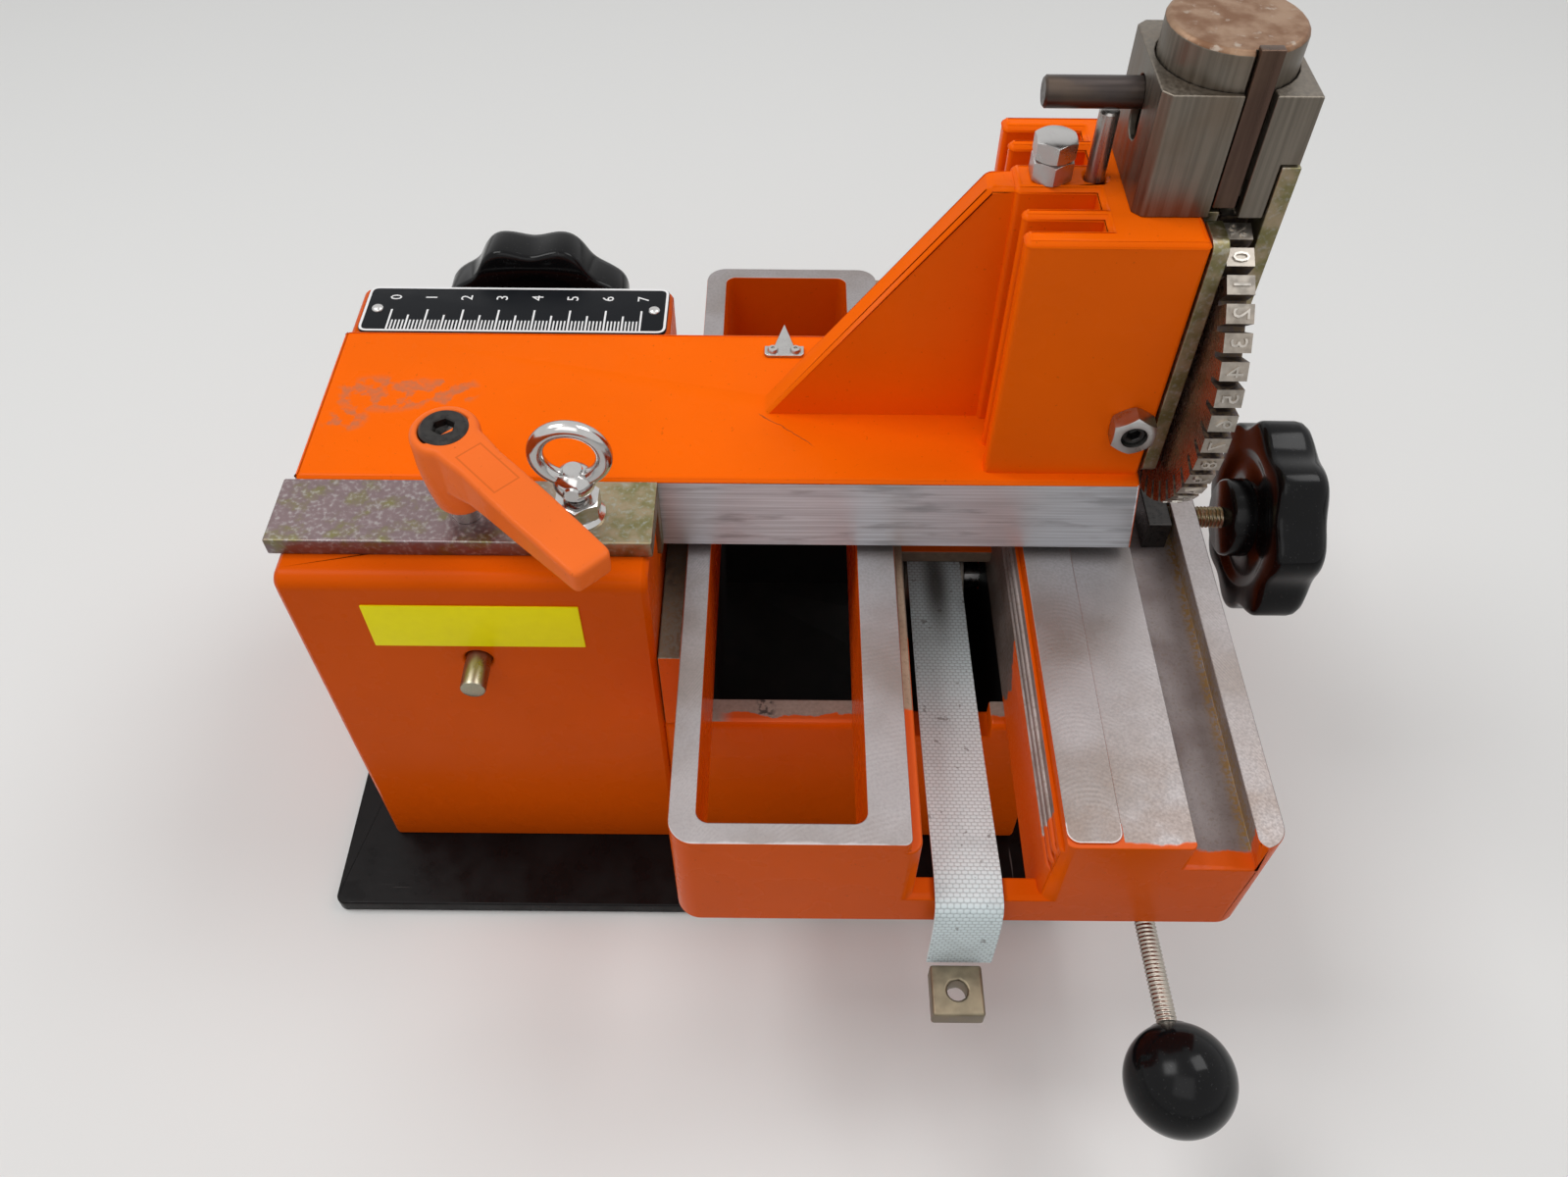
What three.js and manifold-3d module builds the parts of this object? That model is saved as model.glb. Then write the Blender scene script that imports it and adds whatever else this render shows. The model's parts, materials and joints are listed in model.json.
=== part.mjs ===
// Nameplate marking machine: a type wheel on a sliding arm strikes letters into a plate that is
// held on a sliding table. Millimetres, +X to the right along the arm, +Y to the rear, +Z up.
// The origin is the centre of the base plate's underside.

import * as THREE from "three";
import { mergeVertices } from "three/addons/utils/BufferGeometryUtils.js";
import Module from "manifold-3d";

const wasm = await Module();
wasm.setup();

// Fits and modelling allowances
const clearance = 0.3;
const boreFit = 0.2;
const overrun = 2;
const weld = 0.001;
const roundSides = 32;
const smallSides = 16;
const bevelSteps = 2;
const hexSides = 6;

// Base plate, and how far the castings stand to the left and to the front of its middle
const plate = { length: 221, depth: 153.5, thickness: 5, corner: 3, leftward: 0.15, forward: 0.4 };

// Tower casting: a front wall, a seat for the arm and a rear wall over one hollow box
const tower = {
  width: 88.6,
  frontWall: 23.9,
  frontTop: 129.7,
  seatTop: 110.5,
  rearWall: 20.8,
  rearTop: 133,
  shell: 8,
  edge: 1.5,
  frontRound: 4,
};

// Bed casting to the right of the tower, an open box that the table slides on
const bed = { underStrip: 9.7, top: 69.1, frontWall: 8.7, leftWall: 12.2, rightWall: 9, floor: 7, edge: 1.2 };
const bandNotch = { width: 22, depth: 5 };
const drumPost = { thickness: 5, depth: 20, rise: 12 };

// Strip that guides the table beside the tower
const guide = { width: 6.3, top: 99.3, length: 96 };

// Keeper: a plate on the front wall with a leg that bears on the arm
const keeper = { length: 91.8, overhang: 2.2, flange: 20.1, thickness: 5, leg: 4, legHeight: 17.5 };

// Sliding arm, its gusset and its column, one casting
const arm = { depth: 56.1, thickness: 24.1, reach: 208.4, edge: 0.7, slant: 2.8 };
const column = {
  width: 38.3,
  depth: 48.9,
  height: 67,
  flange: 4.8,
  groove: 4.7,
  fin: 3.2,
  web: 10,
  body: 20.7,
  edge: 0.8,
};
const finSetback = 0.5;
const gusset = { toe: 54.5, crest: 5.4, thickness: 7.6 };

// Scale plate on the rear wall, and its pointer on the arm
const scale = { length: 85.4, depth: 19.8, thickness: 1, corner: 3, insetLeft: 2.3, insetFront: 0.6 };
const scaleRivet = { radius: 1.7, dome: 0.9, inset: 3.9 };
const pointer = {
  plate: 10.6,
  depth: 3.9,
  thickness: 1,
  inset: 6.1,
  tip: 3.2,
  tipBase: 5.4,
  fromColumn: 49.7,
  corner: 0.8,
};
const pointerScrew = { radius: 1.5, head: 1, spacing: 6.1, shank: 0.8 };

// Ram guide block on the column, with the ram, its key and its pins
const block = { width: 31.2, depth: 30.6, height: 27.1, offset: 23, chamfer: 2 };
const ram = { radius: 14, head: 8, stroke: 6.5, edge: 0.8, flat: 10.2, flatHeight: 20.6 };
const tongue = { width: 5.2, depth: 14 };
const keyBar = { width: 4.8, groove: 6.2, depth: 2.3, low: 2.2, proud: 1 };
const striker = { radius: 3.25, reach: 20, bite: 6, height: 19.4 };
const returnSpring = { radius: 3.8, pocket: 7.6, fromAxis: 6.4 };
const stepPin = { radius: 2.15, rise: 15.6, length: 99.8, fromWeb: 17.6 };
const stopBolt = { across: 8.6, radius: 3, head: 4.5, shank: 22, fromWeb: 7.7 };
const stopNut = { across: 8.6, height: 5 };

// Type wheel and the two plates that its axle slides in
const wheel = {
  radius: 41.5,
  width: 6,
  fingerDepth: 5,
  fingerWidth: 4.15,
  hubRadius: 9,
  hubWidth: 0.9,
  gap: 1.2,
};
const fingers = 43;
const axle = { radius: 4, headRadius: 6, head: 2.5 };
const innerPlate = { thickness: 3.6, corner: 3 };
const outerPlate = { thickness: 4, proud: 0.4, above: 12.1, below: 12.3 };
const sideScrew = { radius: 1.2, headRadius: 2.3, head: 2, bite: 2, drop: 4.6, spacing: 24.4 };
const detent = {
  fromRight: 5.8,
  height: 17,
  across: 9.8,
  nut: 5,
  radius: 2.9,
  depth: 9,
  proud: 4,
  socket: 3,
  socketDepth: 2.5,
};

// Table casting: open frame on the left, band channel, plate strip, and clamping groove on the right.
// A longer arm needs a wider table, so two of its widths are shares of the arm's reach past the tower.
const table = { depth: 205.7, height: 39.4, frontReach: 56.2, corner: 6, frontWall: 5.3, rearWall: 4.7 };
const rail = {
  outer: 6.2,
  openingShare: 0.3189,
  inner: 9.8,
  ledge: 2.6,
  ledgeDrop: 3.8,
  openingCorner: 3,
  frontRound: 1.8,
  rearRound: 6,
};
const channel = { width: 29.3, floor: 11.8, bridge: 6.2, slot: 102.5, leftRound: 3.5, rightRound: 4.5, web: 4.7, relief: 24 };
const ridge = { step: 2, depth: 4.2, height: 2.2, spacing: 4.4, cut: 0.9 };
const ridges = 3;
const strip = { width: 12.5, raise: 0.6, setBack: 1, corner: 3 };
const flatShare = 0.1352;
const groove = { width: 13.3, depth: 10.6, undercut: 2.2, flatRound: 1.5, wallRound: 3 };
const sideWall = 6.7;
const sideGib = { width: 2.5, height: 8, length: 88 };

// Clamp jaw in the groove and its screw
const jaw = { width: 6.4, length: 14, height: 9.3, travel: 4, fromFront: 103, pocket: 2.2 };
const sideScrewShaft = { radius: 3, reach: 4.6 };

// Lobed knobs, one on the side screw and one on the rear screw
const knob = {
  radius: 26.2,
  lobe: 1.6,
  thickness: 14,
  edge: 2.6,
  hubRadius: 10.6,
  dish: 1.2,
  dishRadius: 17,
};
const lobes = 8;
const lobeSteps = 8;
const sideHub = 5.7;
const rearHub = 3.4;
const rearScrew = { radius: 3, fromLeft: 47.8, height: 6 };

// Clamp lever, its stud and the eye bolt on the keeper
const lever = {
  fromLeft: 44.8,
  fromEdge: 10.7,
  hubTop: 8,
  hubFoot: 6.5,
  height: 23.2,
  spacer: 4.3,
  spacerRadius: 3.8,
  boreRadius: 3.2,
  arm: 53,
  armRoot: 12.6,
  armTip: 10,
  tipThickness: 6.8,
  rootThickness: 13,
  fall: 1.5,
  edge: 1.2,
};
const leverTurn = -45.5;
const leverCap = { radius: 5.6, height: 3, seat: 2.7, across: 5, socketDepth: 2 };
const stud = { radius: 3, depth: 17 };
const eye = {
  fromLeft: 71.8,
  ring: 7.9,
  wire: 2,
  height: 19.8,
  collar: 5,
  collarHeight: 4,
  neck: 2,
  shank: 2.4,
  depth: 17,
};
const eyeNut = { across: 10, height: 5, washer: 6.2, washerHeight: 1.2 };

// Label and pin on the tower's front
const label = { width: 52.5, height: 16, thickness: 0.4, fromLeft: 19, bottom: 104.8 };
const frontPin = { radius: 3.25, proud: 9.5, depth: 7, fromLeft: 43.5, height: 98.5, edge: 0.6 };

// Band that draws the table, its drum in the bed and its nut block
const band = { width: 16.1, thickness: 1.4, lean: 0.014, lift: 0.35, bend: 3.2, fall: 24, droop: 4.6 };
const sag = { depth: 2.6, atShare: 0.5 };
const drum = { radius: 19, flange: 20.5, flangeWidth: 1.8, fromRear: 31, height: 44, bore: 4.3 };
const drumAxle = { radius: 4, bite: 7 };
const nutBlock = { width: 12.8, depth: 12.5, height: 5.8, bore: 2.5, aside: 1.1 };

// Feed rack on the bed, and the ball lever that lifts its tooth, pivoted under the table
const rack = { width: 7.5, height: 7.5, length: 95, drop: 11.6, tooth: 1.2, fromFront: 8.5 };
const feedTeeth = 38;
const bracket = { width: 24, depth: 16, top: 2.2, ear: 2, drop: 11, fromFront: 18.7, fromBed: 1 };
const pivot = { radius: 2, drop: 6.6 };
const pawl = {
  hub: 3.8,
  bar: 4,
  barHeight: 4,
  reach: 68,
  toothDepth: 2.8,
  toothWidth: 2,
  socket: 3.8,
  socketLength: 9,
};
const handle = { radius: 2.6, length: 56.5, ball: 13, bite: 9, side: 16.5, flat: 4.5 };
const handleTilt = 4.65;
const handleSwing = 3.4;

// Screws that hold the castings to the base plate
const footScrew = { radius: 2.4, headRadius: 4.6, head: 2.6, length: 15, fromSide: 16, fromEnd: 4.4 };

// Places worked out from the sizes above
const plateTop = plate.thickness;
const guideInset = clearance + guide.width + clearance;
const openingWidth = rail.openingShare * (arm.reach - tower.width);
const flatWidth = flatShare * (arm.reach - tower.width);
const bandSide = openingWidth + rail.inner + rail.ledge + channel.width + ridge.step;
const bedWidth = guideInset + rail.outer + bandSide + bed.underStrip;
const legSpace = keeper.leg + 2 * clearance;
const castingsDepth = tower.frontWall + legSpace + arm.depth + clearance + tower.rearWall;
const towerLeft = -(tower.width + bedWidth) / 2 - plate.leftward;
const front = -castingsDepth / 2 - plate.forward;
const towerRight = towerLeft + tower.width;
const wallRear = front + tower.frontWall;
const legFront = wallRear + clearance;
const armFront = legFront + keeper.leg + clearance;
const armRear = armFront + arm.depth;
const armCentre = (armFront + armRear) / 2;
const rearWallFront = armRear + clearance;
const rear = rearWallFront + tower.rearWall;
const armBottom = tower.seatTop + clearance;
const armTop = armBottom + arm.thickness;
const armRight = towerLeft + arm.reach;
const keeperTop = tower.frontTop + keeper.thickness;
const bedRight = towerRight + bedWidth;
const bedRearWall = bed.frontWall;
const cavityFloor = plateTop + bed.floor;

const columnLeft = armRight - column.width;
const columnTop = armTop + column.height;
const columnFront = armCentre - column.depth / 2;

const blockLeft = columnLeft + block.offset;
const blockRight = blockLeft + block.width;
const blockFront = armCentre - block.depth / 2;
const blockTop = columnTop + block.height;
const ramX = (blockLeft + blockRight) / 2;
const ramTop = blockTop + ram.head;
const ramBottom = columnTop + ram.stroke + 3 * clearance;
const strikerHeight = columnTop + striker.height;

const innerPlateLeft = armRight + clearance;
const innerPlateRight = innerPlateLeft + innerPlate.thickness;
const wheelLeft = innerPlateRight + wheel.gap;
const wheelRight = wheelLeft + wheel.width;
const wheelTop = columnTop - 2 * clearance;
const wheelHeight = wheelTop - wheel.radius;
const outerPlateLeft = wheelRight + wheel.gap;
const rebateLeft = outerPlateLeft - clearance;
const outerPlateRight = outerPlateLeft + outerPlate.thickness;

const tableLeft = towerRight + guideInset;
const tableBottom = bed.top + clearance;
const tableTop = tableBottom + table.height;
const tableFront = front - table.frontReach;
const tableRear = tableFront + table.depth;
const openingLeft = tableLeft + rail.outer;
const openingRight = openingLeft + openingWidth;
const innerRailRight = openingRight + rail.inner;
const channelLeft = innerRailRight + rail.ledge;
const channelRight = channelLeft + channel.width;
const channelFloor = tableBottom + channel.floor;
const stripLeft = channelRight + ridge.step;
const stripRight = stripLeft + strip.width;
const grooveLeft = stripRight + flatWidth;
const grooveRight = grooveLeft + groove.width;
const tableRight = grooveRight + sideWall;
const grooveFloor = tableTop - groove.depth;
const slotFront = tableFront + channel.bridge;
const slotRear = slotFront + channel.slot;

const jawY = tableFront + jaw.fromFront;
const sideScrewHeight = grooveFloor + groove.depth / 2;
const jawRight = grooveRight - clearance;
const drumY = rear - drum.fromRear;
const bandLeft = channelLeft + (channel.width - band.width) / 2;
const bandRight = bandLeft + band.width;
const rackTop = bed.top - rack.drop;
const pivotY = tableFront + bracket.fromFront + bracket.depth / 2;
const pivotHeight = tableBottom - pivot.drop;
const bracketLeft = bedRight + bracket.fromBed;
const bracketRight = bracketLeft + bracket.width;

// Unit directions that turn a shape drawn in its own plane on to X, Y or Z
const bases = {
  x: new THREE.Matrix4().makeBasis(
    new THREE.Vector3(0, 1, 0),
    new THREE.Vector3(0, 0, 1),
    new THREE.Vector3(1, 0, 0),
  ),
  y: new THREE.Matrix4().makeBasis(
    new THREE.Vector3(1, 0, 0),
    new THREE.Vector3(0, 0, 1),
    new THREE.Vector3(0, -1, 0),
  ),
  z: new THREE.Matrix4(),
};
const alongAxis = {
  x: (a, b, c) => [c, a, b],
  y: (a, b, c) => [a, c, b],
  z: (a, b, c) => [a, b, c],
};

// A geometry's closed surface as a solid that can be cut and joined.
function solid(geometry) {
  const bare = geometry.clone();
  bare.deleteAttribute("normal");
  bare.deleteAttribute("uv");
  const merged = mergeVertices(bare, weld);
  const made = new wasm.Manifold(
    new wasm.Mesh({
      numProp: 3,
      vertProperties: merged.attributes.position.array,
      triVerts: new Uint32Array(merged.index.array),
    }),
  );
  return made;
}

// A box between a low and a high value on each axis.
function box([x0, x1], [y0, y1], [z0, z1]) {
  const geometry = new THREE.BoxGeometry(x1 - x0, y1 - y0, z1 - z0);
  geometry.translate((x0 + x1) / 2, (y0 + y1) / 2, (z0 + z1) / 2);
  return solid(geometry);
}

// An outline carried along an axis. Outlines are drawn in (y, z) for X, (x, z) for Y and (x, y) for Z.
function prism(axis, outline, from, to, edge = 0) {
  const drawn = Array.isArray(outline);
  const shape = drawn ? new THREE.Shape(outline.map(([u, v]) => new THREE.Vector2(u, v))) : outline;
  const geometry = new THREE.ExtrudeGeometry(shape, {
    depth: to - from - 2 * edge,
    bevelEnabled: edge > 0,
    bevelThickness: edge,
    bevelSize: edge,
    bevelOffset: -edge,
    bevelSegments: bevelSteps,
    curveSegments: roundSides / 4,
  });
  geometry.translate(0, 0, edge);
  geometry.applyMatrix4(bases[axis]);
  geometry.translate(...alongAxis[axis](0, 0, axis === "y" ? to : from));
  return solid(geometry);
}

// A round bar along an axis, centred on (y, z), (x, z) or (x, y).
function bar(axis, radius, [u, v], from, to, sides = roundSides) {
  const geometry = new THREE.CylinderGeometry(radius, radius, to - from, sides);
  geometry.rotateX(Math.PI / 2);
  geometry.applyMatrix4(bases[axis]);
  geometry.translate(...alongAxis[axis](u, v, (from + to) / 2));
  return solid(geometry);
}

// A turned shape along an axis: its profile holds (radius, height) from the axis back to the axis.
function turned(axis, profile, [u, v], base, sides = roundSides) {
  const points = profile.map(([radius, height]) => new THREE.Vector2(radius, height));
  const geometry = new THREE.LatheGeometry(points, sides);
  geometry.rotateX(Math.PI / 2);
  geometry.applyMatrix4(bases[axis]);
  if (axis === "y") geometry.rotateZ(Math.PI);
  geometry.translate(...alongAxis[axis](u, v, base));
  return solid(geometry);
}

// A six-sided bar along an axis, measured across its flats.
function hexBar(axis, across, centre, from, to) {
  const corner = across / Math.sqrt(3);
  return bar(axis, corner, centre, from, to, hexSides);
}

function roundedRectangle([u0, u1], [v0, v1], radius) {
  const shape = new THREE.Shape();
  shape.moveTo(u0 + radius, v0);
  shape.lineTo(u1 - radius, v0);
  shape.absarc(u1 - radius, v0 + radius, radius, -Math.PI / 2, 0);
  shape.lineTo(u1, v1 - radius);
  shape.absarc(u1 - radius, v1 - radius, radius, 0, Math.PI / 2);
  shape.lineTo(u0 + radius, v1);
  shape.absarc(u0 + radius, v1 - radius, radius, Math.PI / 2, Math.PI);
  shape.lineTo(u0, v0 + radius);
  shape.absarc(u0 + radius, v0 + radius, radius, Math.PI, 1.5 * Math.PI);
  return shape;
}

// A straight slot with round ends, drawn upright.
function slotOutline([u, v0, v1], radius) {
  const shape = new THREE.Shape();
  shape.absarc(u, v1, radius, 0, Math.PI);
  shape.absarc(u, v0, radius, Math.PI, 2 * Math.PI);
  return shape;
}

function join(...solids) {
  return solids.reduce((whole, piece) => whole.add(piece));
}

function cut(body, ...tools) {
  return tools.reduce((left, tool) => left.subtract(tool), body);
}

const root = new THREE.Group();

// Finishes, as colour, roughness and metalness
const finishes = {
  orangePaint: [0xd9541e, 0.3, 0],
  blackPaint: [0x1b1a1c, 0.45, 0],
  machinedIron: [0x9a9690, 0.45, 0.9],
  zinc: [0xa79a62, 0.4, 0.9],
  brightSteel: [0xb9b8b6, 0.25, 1],
  darkSteel: [0x5b534b, 0.45, 0.9],
  blackOxide: [0x202022, 0.4, 0.6],
  blackPlastic: [0x0d0d0e, 0.2, 0],
  yellowFilm: [0xf2e400, 0.35, 0],
  scaleFilm: [0x14161a, 0.4, 0],
  webbing: [0xb9c6bb, 0.85, 0],
};

function add(name, made, finish, parent = root) {
  const data = made.getMesh();
  const geometry = new THREE.BufferGeometry();
  geometry.setAttribute("position", new THREE.BufferAttribute(data.vertProperties, 3));
  geometry.setIndex(new THREE.BufferAttribute(data.triVerts, 1));
  geometry.computeVertexNormals();
  const [color, roughness, metalness] = finishes[finish];
  const mesh = new THREE.Mesh(geometry, new THREE.MeshStandardMaterial({ color, roughness, metalness }));
  mesh.name = name;
  parent.add(mesh);
  return mesh;
}

// Base plate with countersunk holes, and the four screws in them
const footScrewPlaces = [
  ["left_front", towerLeft + footScrew.fromSide, front + footScrew.fromEnd],
  ["left_rear", towerLeft + footScrew.fromSide, rear - footScrew.fromEnd],
  ["right_front", bedRight - footScrew.fromSide, front + footScrew.fromEnd],
  ["right_rear", bedRight - footScrew.fromSide, rear - footScrew.fromEnd],
];

function screwProfile(grow, extra) {
  return [
    [0, 0],
    [footScrew.headRadius + grow, 0],
    [footScrew.radius + grow, footScrew.head],
    [footScrew.radius + grow, footScrew.length + extra],
    [0, footScrew.length + extra],
  ];
}

function screwSpaces() {
  const profile = screwProfile(boreFit, clearance);
  return footScrewPlaces.map(([, x, y]) => turned("z", profile, [x, y], 0, smallSides));
}

function makeBasePlate() {
  const halfLength = plate.length / 2;
  const halfDepth = plate.depth / 2;
  const outline = roundedRectangle([-halfLength, halfLength], [-halfDepth, halfDepth], plate.corner);
  add("base_plate", cut(prism("z", outline, 0, plateTop), ...screwSpaces()), "blackPaint");
  for (const [place, x, y] of footScrewPlaces)
    add("foot_screw_" + place, turned("z", screwProfile(0, 0), [x, y], 0, smallSides), "blackOxide");
}

// Tower: the outline is its side view, hollow below the arm's seat
const studX = towerLeft + lever.fromLeft;
const studY = armFront - clearance - lever.fromEdge;
const eyeX = towerLeft + eye.fromLeft;
const rearScrewX = towerLeft + rearScrew.fromLeft;
const rearScrewHeight = tower.seatTop + rearScrew.height;
const pinX = towerLeft + frontPin.fromLeft;

function makeTower() {
  const side = new THREE.Shape();
  side.moveTo(front, plateTop);
  side.lineTo(rear, plateTop);
  side.lineTo(rear, tower.rearTop);
  side.lineTo(rearWallFront, tower.rearTop);
  side.lineTo(rearWallFront, tower.seatTop);
  side.lineTo(wallRear, tower.seatTop);
  side.lineTo(wallRear, tower.frontTop);
  side.lineTo(front + tower.frontRound, tower.frontTop);
  const roundHeight = tower.frontTop - tower.frontRound;
  side.absarc(front + tower.frontRound, roundHeight, tower.frontRound, Math.PI / 2, Math.PI);
  const body = prism("x", side, towerLeft, towerRight, tower.edge);
  const hollow = box(
    [towerLeft + tower.shell, towerRight - tower.shell],
    [front + tower.shell, rear - tower.shell],
    [plateTop - overrun, tower.seatTop - tower.shell],
  );
  const high = tower.frontTop + overrun;
  const studHole = bar("z", stud.radius + boreFit, [studX, studY], tower.frontTop - stud.depth, high);
  const eyeHole = bar("z", eye.shank + boreFit, [eyeX, studY], tower.frontTop - eye.depth, high);
  const pinHole = bar(
    "y",
    frontPin.radius + boreFit,
    [pinX, frontPin.height],
    front - overrun,
    front + tower.shell + overrun,
  );
  const rearHole = bar(
    "y",
    rearScrew.radius + boreFit,
    [rearScrewX, rearScrewHeight],
    rearWallFront - overrun,
    rear + overrun,
  );
  const holes = [studHole, eyeHole, pinHole, rearHole];
  add("tower_casting", cut(body, hollow, ...holes, ...screwSpaces()), "orangePaint");
}

// Bed: an open box with a post for the band drum's axle and a notch that the band passes through
const drumMiddle = (bandLeft + bandRight) / 2;
const drumHalf = band.width / 2 + clearance;
const drumLeft = drumMiddle - drumHalf - drum.flangeWidth;
const drumRight = drumMiddle + drumHalf + drum.flangeWidth;
const postRight = drumLeft - 3 * clearance;
const postLeft = postRight - drumPost.thickness;
const cavityRight = bedRight - bed.rightWall;

function makeBed() {
  const outline = roundedRectangle([front, rear], [plateTop, bed.top], 2 * bed.edge);
  const body = prism("x", outline, towerRight, bedRight, bed.edge);
  const cavity = box(
    [towerRight + bed.leftWall, cavityRight],
    [front + bed.frontWall, rear - bedRearWall],
    [cavityFloor, bed.top + overrun],
  );
  const notch = box(
    [drumMiddle - bandNotch.width / 2, drumMiddle + bandNotch.width / 2],
    [front - overrun, front + bed.frontWall + overrun],
    [bed.top - bandNotch.depth, bed.top + overrun],
  );
  const post = box(
    [postLeft, postRight],
    [drumY - drumPost.depth / 2, drumY + drumPost.depth / 2],
    [cavityFloor - overrun, drum.height + drumPost.rise],
  );
  const axleHole = bar(
    "x",
    drumAxle.radius + boreFit,
    [drumY, drum.height],
    postLeft - overrun,
    cavityRight + drumAxle.bite + clearance,
  );
  add("bed_casting", cut(join(cut(body, cavity, notch), post), axleHole, ...screwSpaces()), "orangePaint");
}

function makeGuides() {
  const guideLeft = towerRight + clearance;
  const guideFront = front + clearance;
  const strap = box(
    [guideLeft, guideLeft + guide.width],
    [guideFront, guideFront + guide.length],
    [bed.top, guide.top],
  );
  add("table_guide_strip", strap, "machinedIron");
  const gibFront = (front + rear - sideGib.length) / 2;
  const gib = box(
    [bedRight + clearance, bedRight + clearance + sideGib.width],
    [gibFront, gibFront + sideGib.length],
    [tableBottom - sideGib.height, tableBottom],
  );
  add("table_side_gib", gib, "machinedIron");
}

// Keeper: an L in side view, with holes for the lever stud and the eye bolt
const keeperLeft = towerLeft - keeper.overhang;

function makeKeeper() {
  const legRear = armFront - clearance;
  const outline = [
    [legRear - keeper.flange, tower.frontTop],
    [legRear - keeper.leg, tower.frontTop],
    [legRear - keeper.leg, tower.frontTop - keeper.legHeight],
    [legRear, tower.frontTop - keeper.legHeight],
    [legRear, keeperTop],
    [legRear - keeper.flange, keeperTop],
  ];
  const body = prism("x", outline, keeperLeft, keeperLeft + keeper.length);
  const low = tower.frontTop - overrun;
  const high = keeperTop + overrun;
  const studHole = bar("z", stud.radius + boreFit, [studX, studY], low, high);
  const eyeHole = bar("z", eye.shank + boreFit, [eyeX, studY], low, high);
  add("keeper_bracket", cut(body, studHole, eyeHole), "zinc");
}

// Arm, gusset and comb-shaped column in one casting
const stepPinX = columnLeft + stepPin.fromWeb;
const stopBoltX = columnLeft + stopBolt.fromWeb;
const detentX = armRight - detent.fromRight;
const detentHeight = armTop + detent.height;

function columnOutline() {
  const grooveFoot = column.width - column.body;
  const rearGroove = (column.depth - column.web) / 2 - column.flange - column.groove - column.fin;
  const tips = [
    [column.flange, 0],
    [column.groove, grooveFoot],
    [column.fin, finSetback],
    [rearGroove, grooveFoot],
    [column.web / 2, 0],
  ];
  const half = [];
  let y = columnFront;
  for (const [width, depth] of tips) {
    half.push([columnLeft + depth, y]);
    y += width;
    half.push([columnLeft + depth, y]);
  }
  const mirrored = half.map(([x, value]) => [x, 2 * armCentre - value]).reverse();
  const leftSide = [...half.slice(0, -1), ...mirrored.slice(1)];
  return [[armRight, columnFront + column.depth], [armRight, columnFront], ...leftSide].reverse();
}

function makeArm() {
  const outline = [
    [towerLeft, armBottom + arm.edge],
    [towerLeft + arm.edge, armBottom],
    [armRight + arm.slant, armBottom],
    [armRight, armTop],
    [towerLeft + arm.edge, armTop],
    [towerLeft, armTop - arm.edge],
  ];
  const beam = prism("y", outline, armFront, armRear, arm.edge);
  const post = prism("z", columnOutline(), armTop - column.edge - overrun, columnTop, column.edge);
  const rib = prism(
    "y",
    [
      [columnLeft - gusset.toe, armTop - overrun],
      [columnLeft + overrun, armTop - overrun],
      [columnLeft + overrun, columnTop - column.edge],
      [columnLeft - gusset.crest, columnTop - column.edge],
      [columnLeft - gusset.toe, armTop],
    ],
    armCentre - gusset.thickness / 2,
    armCentre + gusset.thickness / 2,
    column.edge,
  );
  const pinHole = bar(
    "z",
    stepPin.radius + boreFit,
    [stepPinX, armCentre],
    armBottom - overrun,
    columnTop + overrun,
    smallSides,
  );
  const boltHole = bar(
    "z",
    stopBolt.radius + boreFit,
    [stopBoltX, armCentre],
    columnTop - stopBolt.shank - clearance,
    columnTop + overrun,
    smallSides,
  );
  const detentHole = bar(
    "y",
    detent.radius + boreFit,
    [detentX, detentHeight],
    columnFront - overrun,
    columnFront + detent.depth + clearance,
    smallSides,
  );
  add("arm_casting", cut(join(beam, post, rib), pinHole, boltHole, detentHole), "orangePaint");
}

function makeScale() {
  const x0 = towerLeft + scale.insetLeft;
  const y0 = rearWallFront + scale.insetFront;
  const z0 = tower.rearTop;
  const outline = roundedRectangle([x0, x0 + scale.length], [y0, y0 + scale.depth], scale.corner);
  add("scale_plate", prism("z", outline, z0, z0 + scale.thickness), "scaleFilm");
  const dome = [
    [0, 0],
    [scaleRivet.radius, 0],
    [scaleRivet.radius * Math.cos(Math.PI / 6), scaleRivet.dome / 2],
    [scaleRivet.radius / 2, scaleRivet.dome * Math.sin(Math.PI / 3)],
    [0, scaleRivet.dome],
  ];
  const places = { left: x0 + scaleRivet.inset, right: x0 + scale.length - scaleRivet.inset };
  for (const [place, x] of Object.entries(places)) {
    const rivet = turned("z", dome, [x, y0 + scale.depth / 2], z0 + scale.thickness, smallSides);
    add("scale_rivet_" + place, rivet, "brightSteel");
  }
}

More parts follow.
